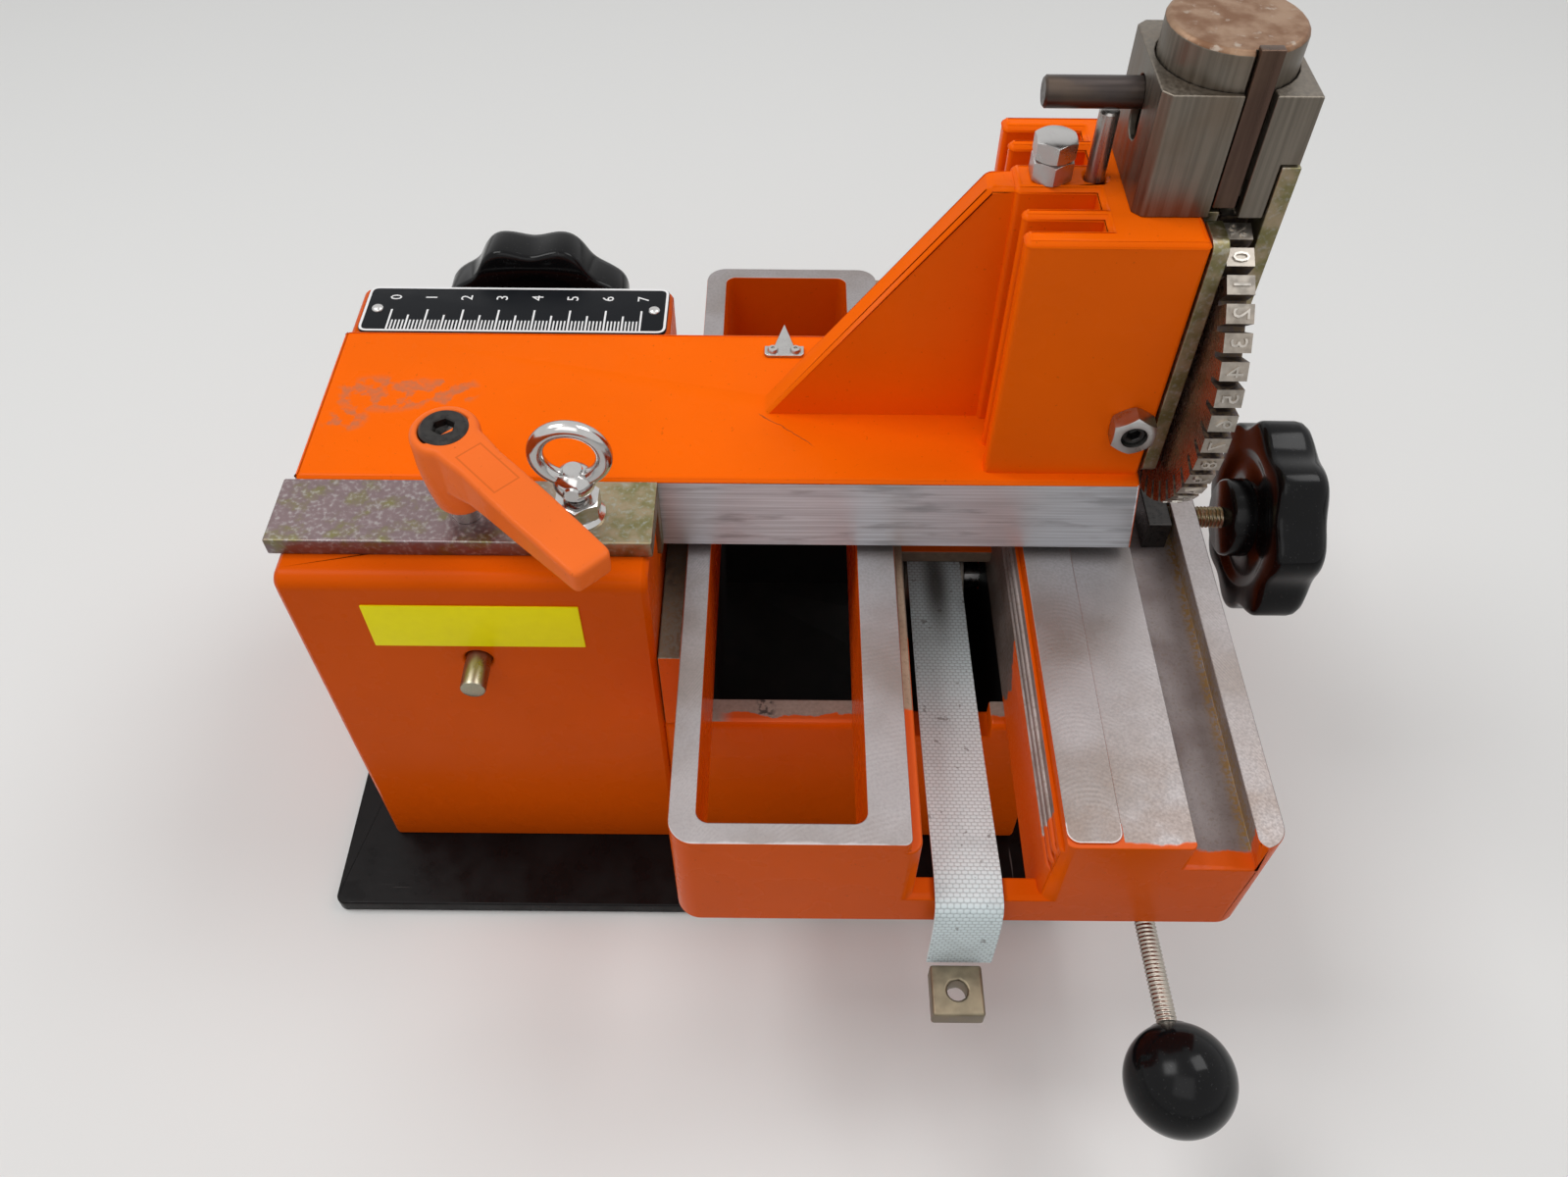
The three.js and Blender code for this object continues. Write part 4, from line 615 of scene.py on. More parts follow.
def milled():
    """Face-milled iron: a small cutter's arcs on the strip, a large one's elsewhere, and a painted front,
    with a bright rim on the strip that is partly wear and partly painted highlight.
    """
    finish = Finish("milled_iron", Metallic=0.85)
    x, y, _ = finish.parts()
    low, high, middle = extents("table_casting")
    iron = colours().milled_iron
    strip_from_right, strip_half, small_reach, large_reach = 0.04245, 0.00625, 0.0085, 0.075
    beside = abs(x - (high.x - strip_from_right))
    small = cutter(finish, beside, y, small_reach)
    large = cutter(finish, x - middle.x, y, large_reach)
    wave = finish.field("Mix", {0: beside.less(strip_half), 2: large, 3: small})
    grain = finish.noise(1500, 3)
    finish.ground(finish.noise(38, 5).fade(0.35, 0.75, 0.0, 0.5), iron, colours().stain)
    finish.cover(grain.fade(0.3, 0.75, 0.0, 0.3), shade(iron, 0.55))
    finish.cover(wave.fade(-1, 1, 0.0, 0.10) * finish.noise(110, 3).fade(0.42, 0.66), shade(iron, 1.7))
    browned = y.fade(low.y + 0.034, low.y + 0.006, 0.0, 0.55) * x.fade(0.084, 0.088)
    finish.cover(browned * finish.noise(90, 4).fade(0.35, 0.6), (0.21, 0.155, 0.125))
    worn, painted = table_front(finish, x, y, beside, strip_half)
    # The bright share is wear, and on the strip's rim a painted highlight as well.
    finish.cover(worn, shade(iron, 2.2))
    finish.cover(painted, colours().orange)
    finish.set(Metallic=painted * -0.85 + 0.85, Roughness=grain.fade(0.2, 0.8, 0.40, 0.55))
    finish.bump(wave * 0.12 + grain, 0.00003, 0.6)
    return finish


def cutter(finish, beside, y, reach):
    """One cutter's marks: the sine of y less its circle's height this far beside its middle, and a wander."""
    wander = 7.0
    height = (reach**2 - beside * beside).larger(0.0).root()
    sweep = (y - height) / (sizes().swirl_pitch / (2 * math.pi))
    return (finish.noise(40) * wander + sweep).sine()


def table_front(finish, x, y, beside, strip_half):
    """Bright and enamelled shares at the table's front: the bright share is wear, and on the strip's rim also
    a painted highlight of its raised edge.

    The strip ends in a rounded rectangle, whose paint starts where the distance past its corner circle
    is above zero. The flats end in a ragged line of paint between their left and right limits.
    """
    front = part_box("table_casting")[0].y
    corner, back, flats_left, flats_right = 0.003, 0.001, 0.098, 0.1290
    out_x = (beside - (strip_half - corner)).larger(0.0)
    out_y = (front + back + corner - y).larger(0.0)
    past = (out_x * out_x + out_y * out_y).root() - corner
    on_strip = beside.less(strip_half + 0.0002)
    near = y.less(front + 0.006)
    ragged = finish.noise(200) * -0.0022 + y
    on_flats = x.fade(flats_left, flats_left + 0.001) * x.fade(flats_right, flats_right - 0.0006)
    flats = ragged.fade(front + 0.0004, front - 0.0002) * on_flats
    painted = (on_strip * past.fade(-0.0001, 0.0001)).larger(flats) * near
    # The strip's bright rim is wear together with a painted highlight of the raised strip's edge.
    rim = past.fade(-0.0005, -0.0002, 0.0, 0.5) * past.fade(0.0001, -0.0001) * on_strip * near
    edge_line = ragged.fade(front - 0.0004, front - 0.0010) * (1.0 - on_strip)
    return rim.larger(edge_line * 0.3), painted


def stained_iron(name="stained_iron", grey=None, share=0.8):
    """Old machined iron: two sizes of brown speckle over grey, rough where it is brown."""
    finish = Finish(name, Metallic=0.7)
    speck = finish.noise(1100, 3).fade(0.42, 0.62)
    grey = grey or shade(colours().milled_iron, 0.8)
    finish.ground(finish.noise(55, 5).fade(0.3, 0.7, 0.15, share), grey, colours().stain)
    finish.cover(speck * 0.45, (0.24, 0.17, 0.09))
    finish.set(Roughness=speck.fade(0, 1, 0.42, 0.66))
    finish.bump(finish.noise(1300, 3), 0.00006, 0.6)
    return finish


def brushed(name, value, stretch, stain=0.0, roughness=0.34):
    """Ground steel: noise drawn out along the grinding, with a cloudy stain."""
    finish = Finish(name, Metallic=0.95)
    lines = finish.noise(1.0, 3, stretch)
    finish.ground(lines.fade(0.3, 0.7), shade(value, 0.80), shade(value, 1.15))
    finish.cover(finish.noise(60, 4).fade(0.42, 0.7, 0.0, stain), colours().stain)
    finish.set(Roughness=lines.fade(0.25, 0.75, roughness - 0.07, roughness + 0.1))
    finish.bump(lines, 0.00003, 0.5)
    return finish


def arm_face():
    """Ground arm sides: fine lines along X and dark smears."""
    finish = Finish("ground_arm_face", Metallic=0.9)
    lines = finish.noise(1.0, 4, (22, 600, 1500))
    smear = finish.noise(1.0, 4, (45, 45, 260)).fade(0.52, 0.72)
    value = (0.64, 0.68, 0.72)
    finish.ground(lines.fade(0.3, 0.7), shade(value, 0.85), shade(value, 1.15))
    finish.cover(smear * 0.5, (0.19, 0.19, 0.20))
    finish.set(Roughness=smear.fade(0, 1, 0.42, 0.55))
    finish.bump(lines, 0.00003, 0.4)
    return finish


def zinc(name, violet=0.0):
    """Yellow zinc plating: clouds of gold, green and grey, with violet where the film is thick."""
    finish = Finish(name, Metallic=0.95)
    cloud, fine = finish.noise(190, 6), finish.noise(900, 4)
    gold = colours().zinc
    light = (gold[0] * 1.25, gold[1] * 1.1, gold[2] * 1.6)
    finish.ground(cloud.fade(0.36, 0.64), shade(gold, 0.72), light)
    if violet:
        x = finish.axis("x")
        finish.cover(x.fade(-0.018, -0.050) * cloud.fade(0.25, 0.50) * violet, (0.180, 0.128, 0.148))
        finish.cover(x.fade(-0.045, -0.015) * fine.fade(0.45, 0.62) * 0.35, (0.17, 0.19, 0.085))
    finish.cover(fine.fade(0.48, 0.75, 0.0, 0.5), shade(colours().bright_steel, 0.8))
    finish.set(Roughness=fine.fade(0.3, 0.7, 0.34, 0.48))
    finish.bump(fine, 0.00002, 0.4)
    return finish


def black_enamel():
    """Satin black enamel with thin scratches: the peaks of two noises drawn out along crossing lines."""
    finish = Finish("black_enamel", Specular_IOR_Level=0.1)
    value = colours().black_enamel
    first = finish.noise(1.0, 2, (30, 900, 900), (0, 0, 0.5)).fade(0.70, 0.76)
    second = finish.noise(1.0, 2, (700, 26, 900), (0, 0, 0.35)).fade(0.71, 0.77)
    finish.ground(finish.noise(60), shade(value, 0.7), shade(value, 1.5))
    finish.cover(first.larger(second) * finish.noise(30).fade(0.42, 0.6) * 0.4, (0.30, 0.28, 0.27))
    finish.set(Roughness=finish.noise(120, 4).fade(0.3, 0.7, 0.24, 0.44))
    finish.bump(finish.noise(350, 3), 0.0001, 0.4)
    return finish


def dull_black():
    """Black inside the bed: the base plate's own black seen below, and painted shade on its inner walls."""
    finish = Finish("bed_black", Roughness=0.6)
    finish.ground(finish.noise(140, 4), (0.008, 0.008, 0.008), (0.022, 0.020, 0.019))
    finish.bump(finish.noise(400, 3), 0.0001, 0.5)
    return finish


def black_oxide():
    """Blackened steel with a faint brown cloud."""
    finish = Finish("black_oxide", Metallic=0.6)
    fine = finish.noise(800, 3)
    finish.ground(fine, (0.014, 0.014, 0.015), (0.050, 0.046, 0.042))
    finish.set(Roughness=fine.fade(0.3, 0.7, 0.26, 0.42))
    finish.bump(fine, 0.00003, 0.4)
    return finish


def knob_plastic():
    """Glossy moulded plastic: nearly black, with very faint flow marks and dust."""
    finish = Finish("knob_plastic", Specular_IOR_Level=0.14)
    finish.ground(finish.noise(1500, 2).fade(0.66, 0.72) * 0.10, colours().knob_black, (0.2, 0.2, 0.2))
    finish.set(Roughness=finish.noise(90, 3).fade(0.3, 0.7, 0.12, 0.22))
    finish.bump(finish.noise(110, 2), 0.00012, 0.3)
    return finish


def printed(name, value, roughness=0.4):
    """Printed film: a flat colour with the faintest unevenness of its print."""
    finish = Finish(name, Specular_IOR_Level=0.08)
    finish.ground(finish.noise(300, 3), shade(value, 0.93), shade(value, 1.04))
    finish.set(Roughness=finish.noise(200).fade(0.3, 0.7, roughness - 0.06, roughness + 0.08))
    finish.bump(finish.noise(900, 2), 0.00002, 0.3)
    return finish


def polished(name, value, roughness=0.16):
    """Bright steel whose colour and gloss drift a little."""
    finish = Finish(name, Metallic=1.0)
    fine = finish.noise(350, 4)
    finish.ground(fine, shade(value, 0.85), shade(value, 1.1))
    finish.set(Roughness=fine.fade(0.3, 0.7, roughness, roughness + 0.12))
    finish.bump(fine, 0.00002, 0.3)
    return finish


def wheel_side():
    """Turned wheel side: fine rings, which are the sine of the distance from the axle over their pitch, on a
    warm ground with red-orange clouds that are a painted reflection of the orange castings.
    """
    finish = Finish("wheel_side", Metallic=0.9)
    middle = extents("type_wheel")[2]
    pitch = 0.0009
    y, z = finish.axis("y") - middle.y, finish.axis("z") - middle.z
    ring = ((y * y + z * z).root() * (2 * math.pi / pitch)).sine()
    # The reddish-brown ground and the red-orange clouds are painted reflection of the orange arm in the
    # steel.
    finish.ground(ring.fade(-1, 1), (0.27, 0.15, 0.10), (0.40, 0.23, 0.155))
    finish.cover(finish.noise(70, 4).fade(0.4, 0.7, 0.0, 0.6), (0.22, 0.065, 0.03))
    finish.set(Roughness=finish.noise(500).fade(0.3, 0.7, 0.2, 0.34))
    finish.bump(ring, 0.00003, 0.5)
    return finish


def webbing():
    """Weave from the band's own lengths, with a soft dark oval and small specks.

    A yarn's height is the sine along its row, and every other row is half a yarn on.
    """
    finish = Finish("webbing", Sheen_Weight=0.25, Sheen_Roughness=0.5)
    across, ahead, _ = finish.parts(finish.node("UVMap", uv_map="weave").outputs[0])
    row = ahead / sizes().weave_along
    odd = finish.maths("MODULO", finish.maths("FLOOR", row), 2.0) * 0.5
    over = abs((row * math.pi).sine())
    under = abs(((across / sizes().weave_across + odd) * math.pi).sine())
    yarn = over.power(0.6) * under.power(0.5)
    value = colours().webbing
    finish.ground(yarn.fade(0.1, 0.75), shade(value, 0.70), shade(value, 1.08))
    finish.cover(finish.noise(70, 4).fade(0.52, 0.72, 0.0, 0.3), shade(value, 0.45))
    x, y, _ = finish.parts()
    # A soft darker oval on the band, under the arm's front edge.
    stain = oval(x, y, (sizes().stain_x, sizes().stain_y), (0.0046, 0.0215)).root().fade(1.25, 0.15)
    finish.cover(stain * 0.88, (0.060, 0.052, 0.046))
    finish.cover(finish.noise(420, 2).fade(0.66, 0.72, 0.0, 0.55), (0.09, 0.08, 0.07))
    finish.set(Roughness=yarn.fade(0, 1, 0.95, 0.75))
    finish.bump(yarn, 0.00014, 0.8)
    return finish


def half_painted(name, dark, light, reach, wander, rusty=False):
    """Bare iron that turns to paint this near the table's front, where noise moves the line by the wander."""
    finish = Finish(name, Metallic=0.6)
    low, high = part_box("table_casting")
    fine = finish.noise(1000, 3)
    finish.ground(finish.noise(60, 4).fade(0.3, 0.7), dark, light)
    finish.cover(fine.fade(0.5, 0.7, 0.0, 0.4), (0.17, 0.12, 0.08))
    if rusty:
        corner = (high.x - sizes().groove_corner - finish.axis("x")).fade(0.0030, 0.0004)
        finish.cover(corner * fine.fade(0.42, 0.52) * 0.8, (0.34, 0.20, 0.05))
    edge = finish.noise(60 + 0.6 / wander, 4) * -wander + finish.axis("y")
    middle = low.y + reach - wander / 2
    painted = edge.fade(middle + 0.0004, middle - 0.0004)
    finish.cover(painted, colours().orange)
    finish.set(Metallic=painted * -0.6 + 0.6, Roughness=fine.fade(0.3, 0.7, 0.42, 0.6))
    finish.bump(fine, 0.00005, 0.5)
    return finish


def slot_end():
    """End wall of the band's slot: bare brown iron near its upper edge and black below, which is painted
    shade of the deep slot.
    """
    finish = Finish("slot_end", Roughness=0.55)
    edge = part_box("table_casting")[0].z + 0.0071
    above = (finish.noise(300) * 0.0006 + finish.axis("z")).fade(edge, edge + 0.0003)
    brown = finish.mix(finish.noise(500, 3), (0.13, 0.095, 0.065), (0.25, 0.19, 0.14))
    # Below the edge the wall is near black: painted shade deep in the slot.
    finish.ground(above, (0.012, 0.011, 0.011), brown)
    finish.bump(finish.noise(700, 3), 0.00005, 0.5)
    return finish


def worn_paint():
    """Bed rim: brown bare iron that keeps its paint in front of a ragged border, and a black spot."""
    finish = Finish("worn_rim", Metallic=0.2)
    x, y, _ = finish.parts()
    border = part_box("bed_casting")[0].y + 0.0068
    ragged = finish.noise(130, 5) * 0.007 + y
    painted = ragged.fade(border + 0.0006, border) * x.fade(0.006, 0.011)
    spot = abs(x - sizes().spot_x).fade(0.0034, 0.0008) * finish.noise(700, 4).fade(0.45, 0.6)
    finish.ground(finish.noise(900, 3), (0.20, 0.145, 0.115), (0.36, 0.29, 0.245))
    finish.cover(spot * 0.85, (0.02, 0.018, 0.018))
    finish.cover(painted, shade(colours().orange, 0.9))
    finish.set(Roughness=painted.fade(0, 1, 0.5, 0.3))
    finish.bump(finish.noise(600, 3), 0.0001, 0.5)
    return finish


def rusty_top():
    """Struck end of the ram: rust in clouds over steel, with brighter rubbed spots."""
    finish = Finish("rusty_top", Metallic=0.5)
    cloud = finish.noise(160, 5)
    finish.ground(cloud.fade(0.35, 0.65), (0.17, 0.085, 0.045), (0.30, 0.19, 0.12))
    finish.cover(finish.noise(420, 3).fade(0.6, 0.75, 0.0, 0.7), (0.42, 0.36, 0.30))
    finish.set(Roughness=cloud.fade(0.3, 0.7, 0.6, 0.42))
    finish.bump(finish.noise(900, 4), 0.0001, 0.6)
    return finish


def made_once(maker, *words):
    """The material of a finish, which is made only once and then shared."""
    key = maker.__name__ + repr(words)
    if key not in made_once.kept:
        made_once.kept[key] = maker(*words).material
    return made_once.kept[key]


made_once.kept = {}


def axle_steel():
    """Bright steel of the axles and the pivot."""
    return made_once(polished, "axle_steel", colours().bright_steel, 0.2)


def plated_steel():
    """Plated steel of the stop bolt and the two nuts."""
    return made_once(polished, "plated_steel", (0.46, 0.45, 0.44), 0.26)


def drum_steel():
    """Ground steel of the drum and the rack."""
    return made_once(brushed, "drum_steel", (0.20, 0.18, 0.16), (40, 500, 500), 0.5, 0.4)


# Operators


class MARKER_OT_stage(bpy.types.Operator):
    """Camera, soft studio light, white surroundings and a plain pale floor"""

    bl_idname = "marker.stage"
    bl_label = "Stage"

    def execute(self, context):
        scene = context.scene
        scene.view_settings.view_transform = "Standard"
        self.camera(scene)
        for name, place, size, power in (
            ("key_light", (-0.60, 0.05, 1.20), 0.55, 6.5),
            ("fill_light", (0.65, 0.20, 1.15), 0.55, 5.1),
            ("front_light", (-0.10, -0.75, 1.10), 0.9, 3.0),
        ):
            self.light(scene, name, place, size, power)
        self.surroundings(scene, ambient=0.30)
        self.floor(reach=3.0)
        return {"FINISHED"}

    def camera(self, scene):
        """The camera that was fitted to the photograph: its three axes, its place and its lens."""
        camera = bpy.data.objects.new("camera", bpy.data.cameras.new("camera"))
        camera.data.sensor_width = 36
        camera.data.lens = 27.98
        camera.data.clip_start = 0.01
        right = (0.99996099, 0.00624665, 0.00624511)
        up = (-0.0087855, 0.77659589, 0.62993781)
        back = (-0.00091492, -0.6299681, 0.77662047)
        place = (0.02382, -0.23376, 0.35090)
        camera.matrix_world = Matrix([*zip(right, up, back, place), (0, 0, 0, 1)])
        scene.collection.objects.link(camera)
        scene.camera = camera

    def light(self, scene, name, place, size, power):
        """A square lamp that faces the machine."""
        lamp = bpy.data.objects.new(name, bpy.data.lights.new(name, "AREA"))
        lamp.data.size = size
        lamp.data.energy = power
        put = Matrix.Translation(place)
        away = put.to_translation() - extents("arm_casting")[2]
        lamp.matrix_world = put @ away.to_track_quat("Z", "Y").to_matrix().to_4x4()
        scene.collection.objects.link(lamp)

    def surroundings(self, scene, ambient):
        """White where the camera, a gloss or a glass sees it, and a weak even light elsewhere."""
        world = bpy.data.worlds.new("studio")
        world.use_nodes = True
        scene.world = world
        nodes, links = world.node_tree.nodes, world.node_tree.links
        rays = nodes.new("ShaderNodeLightPath").outputs
        background = nodes["Background"]
        background.inputs["Color"].default_value = (1, 1, 1, 1)
        seen = rays["Is Camera Ray"]
        for ray in ("Is Glossy Ray", "Is Transmission Ray"):
            either = nodes.new("ShaderNodeMath")
            either.operation = "MAXIMUM"
            links.new(seen, either.inputs[0])
            links.new(rays[ray], either.inputs[1])
            seen = either.outputs[0]
        strength = nodes.new("ShaderNodeMapRange")
        strength.inputs["To Min"].default_value = ambient
        links.new(seen, strength.inputs["Value"])
        links.new(strength.outputs[0], background.inputs["Strength"])

    def floor(self, reach):
        """A flat square that reaches this far from the machine."""
        mesh = bpy.data.meshes.new("floor")
        corners = [(-reach, -reach, 0), (reach, -reach, 0), (reach, reach, 0), (-reach, reach, 0)]
        mesh.from_pydata(corners, [], [(0, 1, 2, 3)])
        finish = Finish("floor", Roughness=0.9)
        finish.ground(finish.noise(4), shade(colours().floor, 0.99), shade(colours().floor, 1.01))
        mesh.materials.append(finish.material)
        link("floor", mesh)


class MARKER_OT_castings(bpy.types.Operator):
    """Base plate, tower, bed, arm and table: rounded, painted outside and bare where they are machined"""

    bl_idname = "marker.castings"
    bl_label = "Castings"

    def execute(self, context):
        edge = sizes().casting_edge
        orange = made_once(paint)
        softened("base_plate", "black_paint", [made_once(black_enamel)], edge=0.0006)
        self.tower(orange, edge)
        self.bed(orange, edge)
        self.arm(edge)
        self.table(orange, edge)
        dress(made_once(black_oxide), *[node for node in frame["nodes"] if node.startswith("foot_screw")])
        return {"FINISHED"}

    def tower(self, orange, edge):
        """Painted, but for the seat of the arm on its top."""
        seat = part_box("arm_casting")[0].z - 0.0005
        foot = 0.02

        def face(middle, normal):
            return int(normal.z > FLAT and abs(middle.z - seat) < 0.002)

        def share(middle):
            return 1.0 if middle.z > foot else 0.5

        finishes = [orange, made_once(stained_iron)]
        softened("tower_casting", "orange_paint", finishes, edge, face, share)

    def bed(self, orange, edge):
        """Painted outside, worn on the rim, and black inside its walls, below the rim, where the black is
        painted shade and the base plate's own black.
        """
        low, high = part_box("bed_casting")
        left_wall, wall, rim_depth = 0.011, 0.008, 0.006
        outside, rim, inside = range(3)

        def face(middle, normal):
            if normal.z > FLAT and middle.z > high.z - 0.001:
                return rim
            within_x = low.x + left_wall < middle.x < high.x - wall
            within_y = low.y + wall < middle.y < high.y - wall
            # Faces inside the walls get the black, which is painted shade of the deep bed.
            return inside if within_x and within_y and middle.z < high.z - rim_depth else outside

        finishes = [orange, made_once(worn_paint), made_once(dull_black)]
        softened("bed_casting", "orange_paint", finishes, edge * 0.6, face)

    def arm(self, edge):
        """Painted on top, and ground on its long sides and its underside."""
        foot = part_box("arm_casting")[0].z
        top = foot + 0.0241
        centre_y, side_from_centre = 0.0033, 0.027

        def face(middle, normal):
            long_side = abs(normal.y) > FLAT and abs(middle.y - centre_y) > side_from_centre
            side = long_side and middle.z < top - 0.0005
            return int(side or (normal.z < -FLAT and middle.z < foot + 0.001))

        def share(middle):
            return 0.35 if middle.z < top - 0.002 else 1

        finishes = [made_once(scuffed_paint), made_once(arm_face)]
        softened("arm_casting", "orange_paint", finishes, edge, face, share, segments=3)

    def table(self, orange, edge):
        """Painted outside, milled on top, and bare in the clamping groove and along the channel.

        The channel has a ledge on its left, ridges on its right and the band's slot at its front end.
        """
        low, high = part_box("table_casting")
        groove_left, groove_right = high.x - 0.0210, high.x - 0.0037
        channel_left, channel_right = low.x + 0.0568, low.x + 0.0861
        top_skin, groove_depth, ledge_drop = 0.0012, 0.0115, 0.0038
        lip_depth, ridges_depth, slot_from_front = 0.0042, 0.016, 0.05
        painted, top, groove, ridges, ledge, slot, wall = range(7)

        def face(middle, normal):
            on_top = normal.z > FLAT
            depth = high.z - middle.z
            if on_top and depth < top_skin:
                return top
            lengthwise = abs(normal.y) < 0.5
            if groove_left < middle.x < groove_right and depth < groove_depth and lengthwise:
                return groove
            if channel_right - 0.0005 < middle.x < channel_right + 0.0025 and lengthwise:
                if depth < lip_depth:
                    return painted
                return ridges if depth < ridges_depth else wall
            if on_top and abs(depth - ledge_drop) < 0.0003 and middle.x < channel_left + 0.001:
                return ledge
            if normal.x > FLAT and abs(middle.x - channel_left) < 0.0005:
                return wall
            in_channel = channel_left < middle.x < channel_right
            is_end = normal.y < -FLAT and middle.y > low.y + slot_from_front
            return slot if is_end and in_channel else painted

        def share(middle):
            if middle.z > high.z - top_skin:
                return 0.32
            return 1 if middle.z < low.z + 0.001 else 0.6

        partly = [
            ("groove_iron", (0.235, 0.19, 0.185), (0.36, 0.32, 0.32), 0.005, 0.0035, True),
            ("ridge_iron", (0.27, 0.22, 0.20), (0.42, 0.36, 0.34), 0.011, 0.005),
            ("ledge_iron", (0.27, 0.19, 0.13), (0.38, 0.29, 0.21), 0.040, 0.020),
            ("channel_iron", (0.16, 0.12, 0.10), (0.30, 0.24, 0.21), 0.062, 0.030),
        ]
        bare = [made_once(half_painted, *words) for words in partly]
        finishes = [orange, made_once(milled), *bare[:3], made_once(slot_end), bare[3]]
        softened("table_casting", "table_iron", finishes, edge, face, share)


class MARKER_OT_guides(bpy.types.Operator):
    """Keeper bracket over the arm and the strips that guide the table"""

    bl_idname = "marker.guides"
    bl_label = "Keeper and guides"

    def execute(self, context):
        edge = sizes().milled_edge
        softened("keeper_bracket", "zinc_plate", [made_once(zinc, "keeper_zinc", 0.85)], edge)
        speckled = made_once(stained_iron, "speckled_iron", (0.20, 0.19, 0.15), 0.6)

        def face(middle, normal):
            return int(normal.y < -FLAT)

        softened("table_guide_strip", "machined_iron", [speckled, made_once(paint)], edge, face)
        dress(speckled, "table_side_gib")
        return {"FINISHED"}


class MARKER_OT_scale(bpy.types.Operator):
    """Scale plate with its print and rivets, and the pointer that reads it"""

    bl_idname = "marker.scale"
    bl_label = "Scale and pointer"

    def execute(self, context):
        low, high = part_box("scale_plate")
        edge = 0.0002
        outline = corner_curves(oblong(low, high, "x", "y"), reach=0.0028, steps=6)
        black = made_once(printed, "scale_black", colours().scale_black)
        made = plate("z", outline, rolled(low.z, high.z, edge))
        settle(build("scale_ground", [made], black), "scale_plate", "scale_plate")
        self.print_marks(low, high, outline, edge)
        self.rivets()
        self.pointer()
        return {"FINISHED"}

    def print_marks(self, low, high, outline, edge):
        """Border, ticks and digits.

        The border is a strip between two outlines, a tick is a bar, and a digit lies on its side with its
        top to the left.
        """
        rise, border = sizes().print_rise, sizes().border
        top = high.z + rise
        strip = [(edge, high.z), (edge, top), (border, top), (border, high.z)]
        shells = [shell(outline_rows(outline, strip), ring=True)]
        zero = low.x + 0.0080
        foot = low.y + border * 0.9
        for number in range(71):
            reach = 0.0096 if number % 10 == 0 else 0.0072 if number % 5 == 0 else 0.0050
            half = 0.00026 if number % 5 == 0 else 0.00021
            x, end = zero + number * MM, low.y + reach
            tick = np.array([(x - half, foot), (x + half, foot), (x + half, end), (x - half, end)])
            shells.append(plate("z", tick, [(0, high.z), (0, top)]))
        digit_foot = low.y + 0.0150
        for number in range(8):
            glyph, faces = lettering(str(number), sizes().digit_height, rise)
            x = zero + number * 10 * MM - glyph[:, 1]
            points = np.stack([x, digit_foot + glyph[:, 0], high.z + glyph[:, 2] + rise / 2], 1)
            shells.append((points, faces))
        white = made_once(printed, "scale_white", colours().scale_white)
        settle(build("scale_print", shells, white, crease=30), "scale_plate", body="base")

    def rivets(self):
        """Domes: a quarter of an ellipse turned round."""
        steel = made_once(polished, "rivet_steel", colours().bright_steel)
        turn = np.linspace(0, np.pi / 2, 9)
        for node in ("scale_rivet_left", "scale_rivet_right"):
            low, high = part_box(node)
            radius = (high.x - low.x) / 2
            dome = zip(radius * np.cos(turn), low.z + (high.z - low.z) * np.sin(turn))
            turned_piece(node, "_dome", "z", [(0, low.z), *dome], "bright_steel", steel)

    def pointer(self):
        """The pointer and its two screws, which have a thin shank, a low head and a small dimple."""
        steel = made_once(polished, "pointer_steel", (0.45, 0.44, 0.43), 0.25)
        softened("pointer", "bright_steel", [steel], edge=0.00018)
        shank = 0.0008
        for node in ("pointer_screw_left", "pointer_screw_right"):
            low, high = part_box(node)
            radius = (high.x - low.x) / 2
            head, dimple = high.z - 0.001, high.z - 0.0004
            profile = [(0, low.z), (shank, low.z), (shank, head), (radius, head), (radius, head + 0.0004)]
            profile += [(radius * 0.8, high.z - 0.0001), (0.0005, high.z), (0.0004, dimple), (0, dimple)]
            turned_piece(node, "_turned", "z", profile, "bright_steel", steel, 32)


def lettering(text, height, thickness):
    """A character as a closed mesh, centred on (0, 0) and scaled so that a capital is as high as asked."""
    curve = bpy.data.curves.new("character", "FONT")
    curve.body = text
    curve.extrude = 0.5
    curve.resolution_u = 2
    carrier = link("character", curve)
    mesh = evaluated_mesh(carrier)
    points = np.empty(len(mesh.vertices) * 3)
    mesh.vertices.foreach_get("co", points)
    points = points.reshape(-1, 3)
    faces = [list(face.vertices) for face in mesh.polygons]
    bpy.data.objects.remove(carrier)
    bpy.data.curves.remove(curve)
    bpy.data.meshes.remove(mesh)
    middle = (points.min(0) + points.max(0)) / 2
    capital = 0.729
    centre_y = capital / 2 if text.isalnum() else middle[1]
    return (points - [middle[0], centre_y, 0]) * [height / capital, height / capital, thickness], faces


class MARKER_OT_front_fittings(bpy.types.Operator):
    """Plain label and pin on the tower's front"""

    bl_idname = "marker.front_fittings"
    bl_label = "Label and front pin"

    def execute(self, context):
        low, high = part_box("label_plate")
        outline = corner_curves(oblong(low, high, "x", "z"), reach=0.0003)
        film = plate("y", outline, rolled(low.y, high.y, edge=0.0001))
        yellow = made_once(printed, "label_film", colours().label, 0.34)
        settle(build("label_film", [film], yellow), "yellow_label", "label_plate")
        low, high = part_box("front_pin")
        radius = (high.x - low.x) / 2
        profile = [(0, low.y), (radius - 0.0007, low.y), (radius - 0.0002, low.y + 0.0003)]
        profile += [(radius, low.y + 0.0009), (radius, high.y), (0, high.y)]
        steel = made_once(polished, "pin_steel", (0.33, 0.30, 0.22), 0.24)
        turned_piece("front_pin", "_turned", "y", profile, "zinc_plate", steel)
        return {"FINISHED"}


